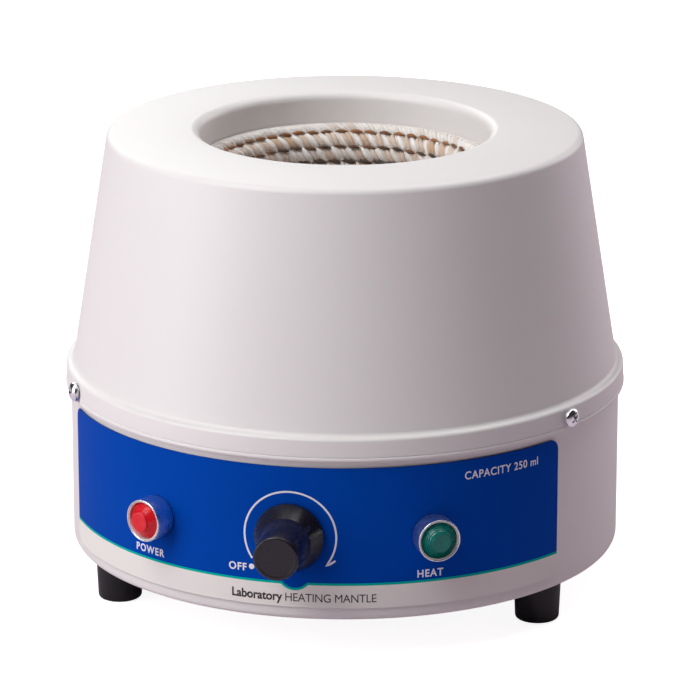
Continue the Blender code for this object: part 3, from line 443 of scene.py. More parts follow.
def rounded(corners, steps=5):
    """Points of an outline given as (r, z, rounding), with its rounded corners as arcs."""
    outline = []
    for index, (r, z, radius) in enumerate(corners):
        corner = Vector((r, z))
        before = Vector(corners[index - 1][:2]) - corner
        after = Vector(corners[(index + 1) % len(corners)][:2]) - corner
        if not radius:
            outline.append(corner)
            continue
        before.normalize()
        after.normalize()
        half = acos(max(-1.0, min(1.0, before.dot(after)))) / 2
        centre = corner + (before + after).normalized() * radius / sin(half)
        start = corner + before * radius / tan(half) - centre
        end = corner + after * radius / tan(half) - centre
        sweep = atan2(start.x * end.y - start.y * end.x, start.dot(end))
        outline += [centre + Matrix.Rotation(sweep * step / steps, 2) @ start for step in range(steps + 1)]
    return outline


def turned(outline, steps, place=Matrix()):
    """A mesh turned about local Z. An outline off the axis is closed into a ring."""
    solid = bmesh.new()
    points = [solid.verts.new((point[0], 0.0, point[1])) for point in outline]
    edges = [solid.edges.new(pair) for pair in zip(points, points[1:])]
    if outline[0][0] > 0 or outline[-1][0] > 0:
        edges.append(solid.edges.new((points[-1], points[0])))
    bmesh.ops.spin(solid, geom=[*points, *edges], cent=(0, 0, 0), axis=(0, 0, 1), angle=2 * pi, steps=steps)
    bmesh.ops.remove_doubles(solid, verts=solid.verts[:], dist=0.000002)
    bmesh.ops.recalc_face_normals(solid, faces=solid.faces[:])
    mesh = mesh_of(solid, "turned")
    mesh.transform(place)
    return mesh


def on_wall(azimuth, height):
    """Local Z points outwards from the mantle's axis, at an azimuth from its front."""
    return (Matrix.Translation((0, 0, height)) @ Matrix.Rotation(azimuth, 4, "Z")
            @ Matrix.Rotation(pi / 2, 4, "X"))


def middle(node):
    low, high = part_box(node)
    return (low + high) / 2


def azimuth_of(node):
    place = middle(node)
    return atan2(place.x, -place.y)


def combined(mesh, operation, *tools):
    """The mesh after the tools' meshes are cut from it or joined to it."""
    work = hidden("work", mesh)
    for tool in tools:
        boolean = work.modifiers.new("boolean", "BOOLEAN")
        boolean.operation = operation
        boolean.solver = "EXACT"
        boolean.object = hidden("tool", tool)
    made = bake(work)
    for left in [item for item in bpy.data.objects if item.name.startswith("tool")]:
        bpy.data.objects.remove(left)
    return made


def drill(radius, low, high, place):
    return turned([(0, high), (radius, high), (radius, low), (0, low)], 48, place)


paint = powder_coat()
housing_low, housing_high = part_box("lower_housing")
housing_radius = housing_high.x
sheet = 1.0 * mm
flange_width = 26.0 * mm
control_height = middle("power_lamp_collar").z
play = 0.4 * mm
drill_reach = 8 * mm

housing_outline = rounded([
    (housing_radius - sheet, housing_high.z, 0),
    (housing_radius, housing_high.z, 0),
    (housing_radius, housing_low.z, 2.0 * mm),
    (housing_radius - flange_width, housing_low.z, 0.25 * mm),
    (housing_radius - flange_width, housing_low.z + sheet, 0.25 * mm),
    (housing_radius - sheet, housing_low.z + sheet, 1.0 * mm),
])


def panel_hole(node, radius):
    """A hole through the wall behind a node, at its azimuth and height."""
    return drill(radius, housing_radius - drill_reach, housing_radius + drill_reach,
                 on_wall(azimuth_of(node), middle(node).z))


lamp_neck = 5.6 * mm
bushing_radius = 3.9 * mm
gland_neck = 7.4 * mm
fuse_neck = 6.2 * mm
screw_shank = 1.9 * mm
screw_nodes = ("band_screw_left", "band_screw_right", "band_screw_rear")
front_holes = [("power_lamp_collar", lamp_neck), ("heat_lamp_collar", lamp_neck),
               ("control_knob", bushing_radius)]
rear_holes = [("gland_dome_nut", gland_neck), ("fuse_carrier", fuse_neck)]
screw_holes = [(name, screw_shank) for name in screw_nodes]
housing_holes = [panel_hole(name, radius + play) for name, radius in front_holes + rear_holes + screw_holes]
housing_mesh = combined(turned(housing_outline, 192), "DIFFERENCE", *housing_holes)
fit("lower_housing_drum", housing_mesh, paint, "off_white_paint", "lower_housing")


# Front label. A polycarbonate film printed on its back in blue with an off-white foot, parted by a teal line
# that dips under the knob, and stuck round the front of the drum. Its lettering is white and black.

label_low, label_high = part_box("front_label")
label_radius = housing_radius + 0.6 * mm
film = 0.3 * mm
label_start = asin(label_low.x / label_radius)
label_end = asin(label_high.x / label_radius)
corner = 4.0 * mm
line_height = 28.4 * mm
line_width = 0.85 * mm
dip_along = 1.6 * mm
dip_radius = 5.8 * mm
dip_centre = line_height + 3.7 * mm


def film_finish(name, colour, second):
    """Printed film: an even colour under a fine frosted texture."""
    print_colour = Finish(name, colour, 0.5, Specular_IOR_Level=0.02)
    frost = print_colour.noise(3200.0, 2.0)
    cloud = print_colour.noise(16.0, 2.0)
    return print_colour.surface(colour=print_colour.mix(cloud, second, colour),
                                roughness=frost * 0.12 + cloud * 0.05 + 0.42,
                                height=frost, depth=0.006 * mm)


def wrapped(mesh):
    """Bend a flat mesh, with x along the arc and y as height, round the drum."""
    for vertex in mesh.vertices:
        along, height, out = vertex.co
        angle = along / label_radius
        vertex.co = ((label_radius + out) * sin(angle), -(label_radius + out) * cos(angle), height)
    return mesh


blue_film = film_finish("blue_film", (0.0, 0.058, 0.40), (0.0, 0.052, 0.365))
teal_film = film_finish("teal_film", (0.0, 0.44, 0.36), (0.0, 0.40, 0.32))
white_film = film_finish("off_white_film", (0.80, 0.77, 0.745), (0.77, 0.74, 0.715))
# The film's cut edge is coloured near black: painted shade, standing in for the thin shadow line along the
# label's edge.
film_edge = film_finish("film_edge", (0.06, 0.055, 0.07), (0.04, 0.038, 0.05))

label_length = (label_end - label_start) * label_radius
label_steps, corner_steps, dip_steps = 240, 10, 20
columns = [label_start * label_radius + label_length * step / label_steps for step in range(label_steps + 1)]
columns += [end + side * corner * (1 - cos(pi / 2 * step / corner_steps))
            for end, side in ((columns[0], 1), (columns[-1], -1)) for step in range(1, corner_steps + 1)]
columns += [dip_along + dip_radius * 1.2 * step / dip_steps for step in range(-dip_steps, dip_steps + 1)]
columns = sorted(columns)


def edge_rounding(along):
    """How far the film's top and bottom edges draw in at its rounded corners."""
    inside = min(along - columns[0], columns[-1] - along)
    return corner - sqrt(max(0.0, corner ** 2 - (corner - inside) ** 2)) if inside < corner else 0.0


def line_edge(along, offset):
    """Height of the teal line's edge, which follows the round dip under the knob."""
    along -= dip_along
    straight = line_height + offset
    reach = dip_radius - offset
    return min(straight, dip_centre - sqrt(reach ** 2 - along ** 2)) if abs(along) < reach else straight


flat_label = bmesh.new()
stations = []
for along in columns:
    draw_in = edge_rounding(along)
    heights = (label_low.z + draw_in, line_edge(along, -line_width / 2),
               line_edge(along, line_width / 2), label_high.z - draw_in)
    stations.append([flat_label.verts.new((along, height, 0)) for height in heights])
for left, right in zip(stations, stations[1:]):
    for band in range(3):
        face = flat_label.faces.new((left[band], right[band], right[band + 1], left[band + 1]))
        face.material_index = band
label_mesh = wrapped(mesh_of(flat_label, "front_label"))
for printed in (white_film, teal_film, blue_film, film_edge):
    label_mesh.materials.append(printed.material)
label_sheet = hidden("label_sheet", label_mesh)
film_wall = label_sheet.modifiers.new("film", "SOLIDIFY")
film_wall.thickness = film
film_wall.offset = -1.0
film_wall.material_offset_rim = 3
label_mesh = combined(bake(label_sheet), "DIFFERENCE",
                      *[panel_hole(name, radius + play) for name, radius in front_holes])
fit("front_label_film", label_mesh, None, "blue_printed_film", "front_label", smooth=50.0)

ink = 0.03 * mm
capital_share = 0.73
squeeze = Matrix.Diagonal((0.92, 1, 1, 1))


def ink_finish(name, colour, thin, full):
    """Screen-printed ink, a little uneven."""
    printed_ink = Finish(name, colour, 0.4)
    return printed_ink.surface(colour=printed_ink.mix(printed_ink.noise(500.0), thin, full))


def lettering(name, text, height, azimuth, level, finish, weight=0.0, spacing=1.0):
    """Printed words centred at an azimuth, with capitals of a given height standing on a level."""
    words = bpy.data.curves.new(name, "FONT")
    words.body = text
    words.align_x = "CENTER"
    words.size = height / capital_share
    words.offset = weight
    words.extrude = ink / 2
    words.space_character = spacing
    mesh = bake(linked("flat", words))
    mesh.transform(Matrix.Translation((azimuth * label_radius, level, ink)) @ squeeze)
    fit(name, wrapped(mesh), finish, "blue_printed_film")


def printed_line(name, route, half_widths, finish):
    """A printed line along a flat route, as a strip with its own half width at each point."""
    strip = bmesh.new()
    pairs = []
    for index, (point, half) in enumerate(zip(route, half_widths)):
        along = (route[min(index + 1, len(route) - 1)] - route[max(index - 1, 0)]).normalized()
        side = Vector((-along.y, along.x)) * half
        pairs.append([strip.verts.new((*(point + side * sign), 0)) for sign in (1, -1)])
    for before, after in zip(pairs, pairs[1:]):
        strip.faces.new((before[0], before[1], after[1], after[0]))
    line = hidden(name + "_line", mesh_of(strip, name))
    layer = line.modifiers.new("ink", "SOLIDIFY")
    layer.thickness = ink
    layer.offset = 0.0
    mesh = bake(line)
    mesh.transform(Matrix.Translation((0, 0, ink)))
    fit(name, wrapped(mesh), finish, "blue_printed_film")


white_ink = ink_finish("white_ink", (0.80, 0.79, 0.84), (0.74, 0.73, 0.80), (0.84, 0.83, 0.86))
black_ink = ink_finish("black_ink", (0.02, 0.018, 0.022), (0.016, 0.014, 0.018), (0.035, 0.03, 0.034))
lettering("print_power", "POWER", 2.75 * mm, radians(-32.2), 30.4 * mm, white_ink, 0.09 * mm, 1.22)
lettering("print_heat", "HEAT", 2.75 * mm, radians(28.1), 29.9 * mm, white_ink, 0.09 * mm, 1.15)
lettering("print_off", "OFF", 2.75 * mm, radians(-10.8), 31.5 * mm, white_ink, 0.09 * mm, 1.15)
lettering("print_capacity", "CAPACITY 250 ml", 2.9 * mm, radians(44.3), 63.2 * mm, white_ink, 0.06 * mm, 1.1)
lettering("print_use", "Laboratory", 3.2 * mm, radians(-6.9), 21.9 * mm, black_ink, 0.12 * mm)
lettering("print_kind", "HEATING MANTLE", 3.1 * mm, radians(8.1), 21.9 * mm, black_ink, 0.0, 0.96)

sweep_radius = 16.0 * mm
sweep_half = 0.33 * mm
sweep_start, sweep_end = radians(-124), radians(130)


def dial_point(clockwise, radius):
    """A point of the dial, at an angle clockwise from the top."""
    return Vector((radius * sin(clockwise), control_height + radius * cos(clockwise)))


arc_steps = 72
arc_route = [dial_point(sweep_start + (sweep_end - sweep_start) * step / arc_steps, sweep_radius)
             for step in range(arc_steps + 1)]
arc_halves = [sweep_half] * (arc_steps - 1) + [0.6 * sweep_half, 0.1 * sweep_half]
printed_line("print_sweep", arc_route, arc_halves, white_ink)
barb = [dial_point(radians(130 - 12.5 * step / 3), sweep_radius + 1.7 * mm * step / 3) for step in range(4)]
printed_line("print_sweep_arrow", barb, [0.05 * mm, 0.34 * mm, 0.40 * mm, 0.30 * mm], white_ink)
dot = Vector((-13.5 * mm, 33.2 * mm))
dot_turns = [pi * k / 12 for k in range(12, -1, -1)]
dot_route = [dot + Vector((1.0 * mm * cos(turn), 0)) for turn in dot_turns]
printed_line("print_off_dot", dot_route, [max(0.02, sin(turn)) * mm for turn in dot_turns], white_ink)


# Indicator lamps. Each is a plated brass collar pushed through the panel and held by a nut behind it, with a
# ribbed plastic lens snapped into its cup: red for power, green for heat.


def chrome_finish():
    """Thin bright plating with faint turning marks."""
    plating = Finish("bright_plating", (0.80, 0.81, 0.84), 0.28, Metallic=1.0)
    marks = plating.noise(5200.0, 2.0)
    cloud = plating.noise(300.0, 3.0)
    return plating.surface(colour=plating.mix(cloud, (0.72, 0.73, 0.77), (0.86, 0.87, 0.90)),
                           roughness=marks * 0.08 + cloud * 0.10 + 0.19, height=marks, depth=0.002 * mm)


def lens_finish(name, colour, deep, glow):
    """Coloured clear plastic, darker in random patches, lit a little from behind."""
    lens = Finish(name, colour, 0.16, Specular_IOR_Level=0.35, Emission_Color=colour, Emission_Strength=glow,
                  Coat_Weight=0.1, Coat_Roughness=0.05)
    cloud = lens.noise(450.0, 2.0)
    return lens.surface(colour=lens.mix(cloud, deep, colour), roughness=cloud * 0.1 + 0.1,
                        height=lens.noise(2200.0), depth=0.004 * mm)


def moulded_black(name, colour=(0.013, 0.012, 0.016), roughness=0.36, depth=0.012 * mm, shine=0.5):
    """Moulded black plastic with a fine spark-eroded grain."""
    plastic = Finish(name, colour, roughness, Specular_IOR_Level=shine)
    grain = plastic.noise(2400.0, 3.0)
    cloud = plastic.noise(90.0, 3.0)
    return plastic.surface(
        colour=plastic.mix(cloud, colour, tuple(channel * 1.6 + 0.002 for channel in colour)),
        roughness=grain * 0.1 + cloud * 0.12 + (roughness - 0.11), height=grain, depth=depth)


plating = chrome_finish()
red_lens = lens_finish("red_lens", (0.72, 0.016, 0.030), (0.52, 0.005, 0.010), 0.10)
green_lens = lens_finish("green_lens", (0.0, 0.20, 0.165), (0.0, 0.09, 0.08), 0.05)
case_black = moulded_black("case_black", (0.02, 0.02, 0.021), 0.5)
steel_parts = plated_finish("plated_turned_steel", (0.62, 0.63, 0.65), 0.34)

lamp_radius = 7.45 * mm
lamp_rim = 0.55 * mm
cup_depth = 4.3 * mm
neck_bore = 4.4 * mm
neck_length = 15 * mm
button_radius = 3.5 * mm
ribs = 5
for kind, lens_plastic, lens_slot in (("power", red_lens, "red_lens"), ("heat", green_lens, "green_lens")):
    place = on_wall(azimuth_of(kind + "_lamp_collar"), control_height)
    front = label_radius + 7.9 * mm
    base = label_radius + 0.3 * mm
    cup = lamp_radius - lamp_rim
    floor_level = front - cup_depth
    collar = rounded([
        (cup, front, 0.2 * mm),
        (lamp_radius, front, 0.25 * mm),
        (lamp_radius, base + 0.9 * mm, 0.1 * mm),
        (lamp_radius - 0.25 * mm, base + 0.7 * mm, 0),
        (lamp_radius - 0.25 * mm, base, 0),
        (lamp_neck, base, 0),
        (lamp_neck, base - neck_length, 0.3 * mm),
        (neck_bore, base - neck_length, 0),
        (neck_bore, floor_level, 0),
        (cup, floor_level, 0.3 * mm),
    ], 3)
    fit(kind + "_lamp_bezel", turned(collar, 72, place), plating, "chrome", kind + "_lamp_collar",
        smooth=40.0)

    seat = floor_level + 0.3 * mm
    lens_edge = cup - 0.5 * mm
    crown = front + 1.9 * mm
    lens = [(0, crown - 0.25 * mm), (1.1 * mm, crown - 0.2 * mm), (2.4 * mm, crown)]
    lens += [(button_radius + 0.25 * mm * cos(a) - 0.25 * mm, crown - 0.25 * mm + 0.25 * mm * sin(a))
             for a in (pi / 2, pi / 4, 0)]
    flank_top, flank_low = crown - 0.55 * mm, front - 1.6 * mm
    lens.append((button_radius, flank_top))
    for rib in range(ribs):
        for share, rise in ((0.12, -0.12), (0.4, 0.16), (0.75, 0.16), (0.95, -0.12)):
            t = (rib + share) / ribs
            lens.append((button_radius + (lens_edge - button_radius) * t,
                         flank_top + (flank_low - flank_top) * t + rise * mm))
    lens += [(lens_edge, flank_low), (lens_edge, seat), (neck_bore - play, seat),
             (neck_bore - play, seat - 3 * mm), (0, seat - 3 * mm)]
    fit(kind + "_lamp_cap", turned(lens, 72, place), lens_plastic, lens_slot, kind + "_lamp_lens",
        smooth=40.0)
    ring_in, ring_out = cup - 0.33 * mm, cup - 0.04 * mm
    ring_high = front - 0.3 * mm
    ring = [(ring_in, seat), (ring_in, ring_high), (ring_out, ring_high), (ring_out, seat)]
    fit(kind + "_lamp_reflector", turned(ring, 72, place), paint, "off_white_paint", smooth=40.0)
    keep(case_black, "black_moulded_plastic", kind + "_lamp_holder")
    keep(steel_parts, "plated_steel", kind + "_lamp_nut")


# Cable gland. A black nylon body screwed through the rear wall with a lock nut inside, a rubber seal and a
# ribbed dome nut that clamps the mains cable.

nylon = moulded_black("black_nylon", (0.016, 0.016, 0.018), 0.42)
soft_rubber = moulded_black("black_rubber", (0.004, 0.0035, 0.006), 0.42, 0.015 * mm, 0.4)
gland_place = on_wall(azimuth_of("gland_dome_nut"), middle("gland_dome_nut").z)
dome_low, dome_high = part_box("gland_dome_nut")
dome_front, dome_back = dome_high.y, dome_low.y
gland_bore = 4.3 * mm
dome_radius = (dome_high.z - dome_low.z) / 2
dome_outline = rounded([
    (gland_bore, dome_front, 0.3 * mm),
    (gland_bore + 1.6 * mm, dome_front, 0.6 * mm),
    (dome_radius - 0.5 * mm, dome_front - 6 * mm, 3 * mm),
    (dome_radius - 0.5 * mm, dome_back, 0.3 * mm),
    (gland_neck + play, dome_back, 0),
    (gland_neck + play, dome_front - 8.8 * mm, 0),
    (gland_bore, dome_front - 5.8 * mm, 0.3 * mm),
], 6)
fit("gland_dome", turned(dome_outline, 96, gland_place), nylon, "black_moulded_plastic", "gland_dome_nut")


def placed(mesh, place):
    """A copy of a mesh, at its place."""
    copy = mesh.copy()
    copy.transform(place)
    return copy


def grip_rib(across, out, along, rounding, steps):
    """One small grip rib with rounded edges, along local Z."""
    rib = bmesh.new()
    bmesh.ops.create_cube(rib, size=1.0, matrix=Matrix.Diagonal((across, out, along, 1)))
    bmesh.ops.bevel(rib, geom=rib.edges[:], offset=rounding, segments=steps, affect="EDGES")
    return hidden("grip_rib", mesh_of(rib, "grip_rib"))


grips = ring_pattern("dome_grips", grip_rib(1.1 * mm, 1.0 * mm, 7.6 * mm, 0.3 * mm, 2), nylon, 18,
                     dome_radius - 0.55 * mm, dome_back + 4.3 * mm)
fit("gland_dome_grips", placed(grips.made(), gland_place), nylon, "black_moulded_plastic")
keep(nylon, "black_moulded_plastic", "gland_body", "gland_lock_nut")
keep(soft_rubber, "black_rubber", "gland_seal")


# Fuse holder. A black panel holder on the rear, held by a nut inside, with a slotted bayonet carrier that
# brings out the 5 by 20 mm glass fuse.

fuse_azimuth = radians(150)
fuse_place = on_wall(fuse_azimuth, middle("fuse_carrier").z)
fuse_base = housing_radius + 0.3 * mm
flange_top = fuse_base + 2.2 * mm
fuse_bore = 4.2 * mm
fuse_end = fuse_base - 32 * mm
fuse_flange = 8.0 * mm
holder_outline = rounded([
    (0, fuse_end + 1.5 * mm, 0),
    (fuse_bore, fuse_end + 1.5 * mm, 0),
    (fuse_bore, flange_top, 0.2 * mm),
    (fuse_flange, flange_top, 0.7 * mm),
    (fuse_flange, fuse_base, 0.1 * mm),
    (fuse_neck, fuse_base, 0),
    (fuse_neck, fuse_end, 0.4 * mm),
    (0, fuse_end, 0),
])
fit("fuse_holder_body", turned(holder_outline, 72, fuse_place), nylon, "black_moulded_plastic", "fuse_holder")
cap_base = flange_top + 0.3 * mm
cap_top = cap_base + 7.5 * mm
cap_radius = 6.6 * mm
stem_radius = 3.7 * mm
stem_end = fuse_base - 9 * mm
carrier_outline = rounded([
    (0, cap_top, 0),
    (cap_radius - 0.4 * mm, cap_top, 0.9 * mm),
    (cap_radius - 0.4 * mm, cap_base, 0),
    (stem_radius, cap_base, 0),
    (stem_radius, stem_end, 0.3 * mm),
    (0, stem_end, 0),
])
coin_slot = bmesh.new()
bmesh.ops.create_cube(coin_slot, size=1.0, matrix=fuse_place @ Matrix.Translation((0, 0, cap_top))
                      @ Matrix.Diagonal((1.2 * mm, 1.3 * cap_radius, 2.0 * mm, 1)))
carrier_mesh = combined(turned(carrier_outline, 72, fuse_place), "DIFFERENCE",
                        mesh_of(coin_slot, "coin_slot"))
fit("fuse_cap", carrier_mesh, nylon, "black_moulded_plastic", "fuse_carrier", body="fuse carrier")
cap_grips = ring_pattern("cap_grips", grip_rib(0.7 * mm, 0.8 * mm, 5.4 * mm, 0.2 * mm, 1), nylon, 24,
                         cap_radius - 0.42 * mm, cap_base + 3.1 * mm)
fit("fuse_cap_grips", placed(cap_grips.made(), fuse_place), nylon, "black_moulded_plastic",
    body="fuse carrier")
keep(nylon, "black_moulded_plastic", "fuse_holder_nut")
fuse_glass = Finish("fuse_glass", (0.82, 0.84, 0.84), 0.08, Alpha=0.55)
fuse_glass.surface(roughness=fuse_glass.noise(400.0) * 0.1 + 0.03)
keep(fuse_glass, "fuse_glass", "fuse_link")


# Pillars, heat shield and can. Turned steel pillars stand on the bottom plate, a thin shield rests on their
# steps, and the can that holds the insulation is welded to their tops.

keep(steel_parts, "plated_steel", "pillar_left", "pillar_right", "pillar_rear", "heat_shield", "inner_can",
     "nest_ring")
wool = Finish("glass_wool", (0.78, 0.72, 0.52), 0.9)
tufts = wool.noise(900.0, 5.0)
strands = wool.noise(4000.0, 2.0, wool.stretched(0.15, 1.0, 1.0))
wool.surface(colour=wool.mix(tufts, (0.62, 0.54, 0.34), (0.84, 0.79, 0.60)),
             height=tufts * 0.6 + strands * 0.4, depth=0.5 * mm)
keep(wool, "glass_wool", "insulation_blanket")
wire = Finish("oxidised_resistance_wire", (0.30, 0.28, 0.27), 0.42, Metallic=1.0)
scale_marks = wire.noise(900.0, 3.0)
wire.surface(colour=wire.mix(scale_marks, (0.20, 0.16, 0.14), (0.38, 0.36, 0.35)),
             roughness=scale_marks * 0.3 + 0.25)
keep(wire, "resistance_wire", "heating_wire")


# Electronics. A folded steel bracket carries the control board with its capacitor and triac, and a ceramic
# block joins the board to the two sleeved heater leads.

board_green = Finish("board_laminate", (0.02, 0.16, 0.06), 0.35, Coat_Weight=0.4)
traces = board_green.node("ShaderNodeTexBrick", 0, {
    "Vector": board_green.stretched(1.0, 1.0, 1.0), "Scale": 260.0, "Color1": (0.02, 0.17, 0.06),
    "Color2": (0.015, 0.13, 0.05), "Mortar": (0.05, 0.26, 0.10), "Mortar Size": 0.03})
board_green.surface(colour=traces, height=board_green.noise(1500.0), depth=0.02 * mm)
keep(board_green, "board_laminate", "control_board")
keep(case_black, "black_moulded_plastic", "filter_capacitor", "triac", "potentiometer")
keep(zinc_plate, "plated_steel", "board_bracket")
ceramic = Finish("ceramic", (0.82, 0.80, 0.76), 0.4)
pores = ceramic.noise(1800.0, 4.0)
ceramic.surface(colour=ceramic.mix(pores, (0.74, 0.71, 0.66), (0.86, 0.84, 0.80)),
                height=pores, depth=0.05 * mm)
keep(ceramic, "ceramic", "terminal_block")
sleeve = Finish("braided_sleeve", (0.75, 0.72, 0.66), 0.7)
braid = sleeve.node("ShaderNodeTexChecker", "Fac", {
    "Vector": sleeve.stretched(1, 1, 1, pi / 4), "Scale": 1600.0})
sleeve.surface(colour=sleeve.mix(braid, (0.62, 0.58, 0.50), (0.80, 0.77, 0.70)), height=braid, depth=0.1 * mm)
keep(sleeve, "lead_sleeve", "heater_lead_1", "heater_lead_2")


# Nest. Glass-fibre yarn is knitted into a bowl round a heating cord: a cushion of loose yarn in each stitch,
# a slanting strand that ties each row to the next, and the brown cord that shows between the rows.


def yarn_finish(name, pale_colour, toasted, fibre_depth, middle_toast=0.0):
    """Glass-fibre yarn: pale loose fibres, browned by heat where the tint attribute says so."""
    yarn = Finish(name, pale_colour, 0.62, Specular_IOR_Level=0.4, Sheen_Weight=0.25, Sheen_Roughness=0.5)
    fibres = yarn.noise(1.0, 3.0, yarn.node("ShaderNodeMapping", 0, {
        "Vector": yarn.attribute("UVMap", "Vector"), "Scale": (42.0, 3.0, 1.0)}))
    across = yarn.node("ShaderNodeSeparateXYZ", 0, {"Vector": yarn.attribute("UVMap", "Vector")})
    belly = (across * pi).sine() * middle_toast - middle_toast * 0.6
    fuzz = yarn.noise(2600.0, 3.0)
    patch = yarn.noise(240.0, 3.0)
    toast = (yarn.attribute("tint") * 1.5 + patch * 0.7 + belly - 0.45).limited()
    shade = (fibres * 0.55 + fuzz * 0.45).limited()
    light = yarn.mix(shade, tuple(channel * 0.80 for channel in pale_colour), pale_colour)
    brown = yarn.mix(shade, tuple(channel * 0.65 for channel in toasted), toasted)
    return yarn.surface(colour=yarn.mix(toast, light, brown), roughness=fuzz * 0.3 + 0.5,
                        height=fibres * 0.7 + fuzz * 0.3, depth=fibre_depth)


def yarn_shape(name, bars, sides=5):
    """Round bars of yarn along open routes, with UVs across the whole bundle and along it."""
    bundle = bmesh.new()
    uv_layer = bundle.loops.layers.uv.new("UVMap")
    for number, (route, radius_at) in enumerate(bars):
        last = len(route) - 1
        rings = []
        for index, point in enumerate(route):
            along = (route[min(index + 1, last)] - route[max(index - 1, 0)]).normalized()
            side = along.cross(Vector((0, 1, 0))).normalized()
            up = side.cross(along)
            rings.append(tube_ring(bundle, point, side, up, radius_at(index / last), sides))
        for index in range(last):
            for k in range(sides):
                face = bundle.faces.new((rings[index][k], rings[index][(k + 1) % sides],
                                         rings[index + 1][(k + 1) % sides], rings[index + 1][k]))
                places = ((k, index), (k + 1, index), (k + 1, index + 1), (k, index + 1))
                for loop, (across, length) in zip(face.loops, places):
                    loop[uv_layer].uv = ((number + across / sides) / len(bars), length / last)
        bundle.faces.new(rings[0])
        bundle.faces.new(rings[-1])
    bmesh.ops.recalc_face_normals(bundle, faces=bundle.faces[:])
    mesh = mesh_of(bundle, name)
    mesh.shade_smooth()
    return hidden(name, mesh)


nest_low, nest_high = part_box("heating_nest")
bowl_radius = 43.0 * mm
flask_centre = nest_low.z + bowl_radius + 5.5 * mm
rim_level = nest_high.z
rim_radius = nest_high.x


def bowl_point(radius, drop):
    """A point of the bowl's outline, at an angle down from the level of the flask's middle."""
    return Vector((radius * cos(drop), flask_centre - radius * sin(drop)))


bowl_top = rim_level - 14.1 * mm
first_drop = asin((flask_centre - bowl_top) / bowl_radius)
bowl_rows = 11
row_step = (pi / 2 - first_drop - radians(6)) / bowl_rows
row_edges = [Vector((rim_radius - 0.9 * mm, rim_level - 0.5 * mm)), Vector((46.3 * mm, rim_level - 3.2 * mm)),
             Vector((42.9 * mm, rim_level - 8.2 * mm))]
row_edges += [bowl_point(bowl_radius, first_drop + row_step * k) for k in range(bowl_rows + 1)]

stitch_pitch = 5.5 * mm
row_pitch = 6.0 * mm
stray = 0.2 * mm


def slant_route(shift, slant, reach, steps, low, crown):
    """A route across one row, slanting as it goes down and bulging towards the flask."""
    return [Vector((shift + slant * (1 - 2 * k / steps), low + crown * sin(pi * k / steps),
                    reach * (1 - 2 * k / steps))) for k in range(steps + 1)]


strands = 3
cushion_bars = []
for number in range(strands):
    shift = (number - (strands - 1) / 2) * stitch_pitch / strands
    crown = 1.55 * mm * (1 - (shift / (0.75 * stitch_pitch)) ** 2)
    cushion_bars.append((slant_route(shift, 1.9 * mm, 3.0 * mm, 5, -0.35 * mm, crown),
                         lambda t: (0.72 + 0.42 * sin(pi * t)) * mm))
cushion_shape = yarn_shape("cushion", cushion_bars)
tie_slant = 1.9 * mm
tie_shape = yarn_shape("tie", [(slant_route(0, tie_slant, 2.6 * mm, 7, 0.1 * mm, 0.75 * mm),
                                lambda t: (0.62 + 0.42 * sin(pi * t)) * mm)], 7)
dash_shape = yarn_shape("dash", [(slant_route(0, 2.3 * mm, 0.25 * mm, 6, 0.25 * mm, 0.45 * mm),
                                  lambda t: (0.18 + 0.52 * sin(pi * t)) * mm)], 7)

pale_yarn = (0.90, 0.86, 0.83)
knit_yarn = yarn_finish("knitted_glass_yarn", pale_yarn, (0.66, 0.43, 0.27), 0.2 * mm, 0.5)
tie_yarn = yarn_finish("tie_yarn", (0.93, 0.90, 0.88), (0.80, 0.66, 0.55), 0.12 * mm)
cord_yarn = yarn_finish("heating_cord", (0.36, 0.15, 0.05), (0.06, 0.035, 0.022), 0.2 * mm)


def knit_pattern(name, shape, finish):
    """One row of a shape round the bowl: sized, leaning with the wall, and a little uneven."""
    pattern = Pattern(name, Shape=shape, Finish=finish.material, Count=10, Circle=0.04, Height=0.1, Lean=0.0,
                      Phase=0.0, Width=1.0, Depth=1.0, Length=1.0, Uneven=0.08, Toast=0.3, Seed=1)
    given = pattern.given
    even_points, angle = ring_points(pattern)

    def chance(low, high, salt):
        return pattern.node("FunctionNodeRandomValue", 1, {2: low, 3: high, 8: given["Seed"] + salt},
                            data_type="FLOAT")

    shift = pattern.node("FunctionNodeRandomValue", 0, {
        0: (-stray, -stray, -stray), 1: (stray, stray, stray), 8: given["Seed"]}, data_type="FLOAT_VECTOR")
    points = pattern.node("GeometryNodeSetPosition", 0, {"Geometry": even_points, "Offset": shift})
    turn = pattern.node("ShaderNodeCombineXYZ", 0, {
        "X": given["Lean"] + chance(-0.06, 0.06, 3), "Y": given["Uneven"] * chance(-1.0, 1.0, 5), "Z": angle})
    size = pattern.node("ShaderNodeCombineXYZ", 0, {
        "X": given["Width"] * chance(0.94, 1.08, 7), "Y": given["Depth"] * chance(0.85, 1.15, 11),
        "Z": given["Length"] * chance(0.95, 1.05, 13)})
    pattern.repeated(points, turn, size, given["Toast"] + chance(-0.2, 0.2, 17))
    return pattern


cushions = knit_pattern("knit_cushions", cushion_shape, knit_yarn)
ties = knit_pattern("knit_ties", tie_shape, tie_yarn)
dashes = knit_pattern("knit_cord", dash_shape, cord_yarn)


def merged(meshes):
    """One mesh of several."""
    whole = bmesh.new()
    for mesh in meshes:
        whole.from_mesh(mesh)
    return mesh_of(whole, "merged")


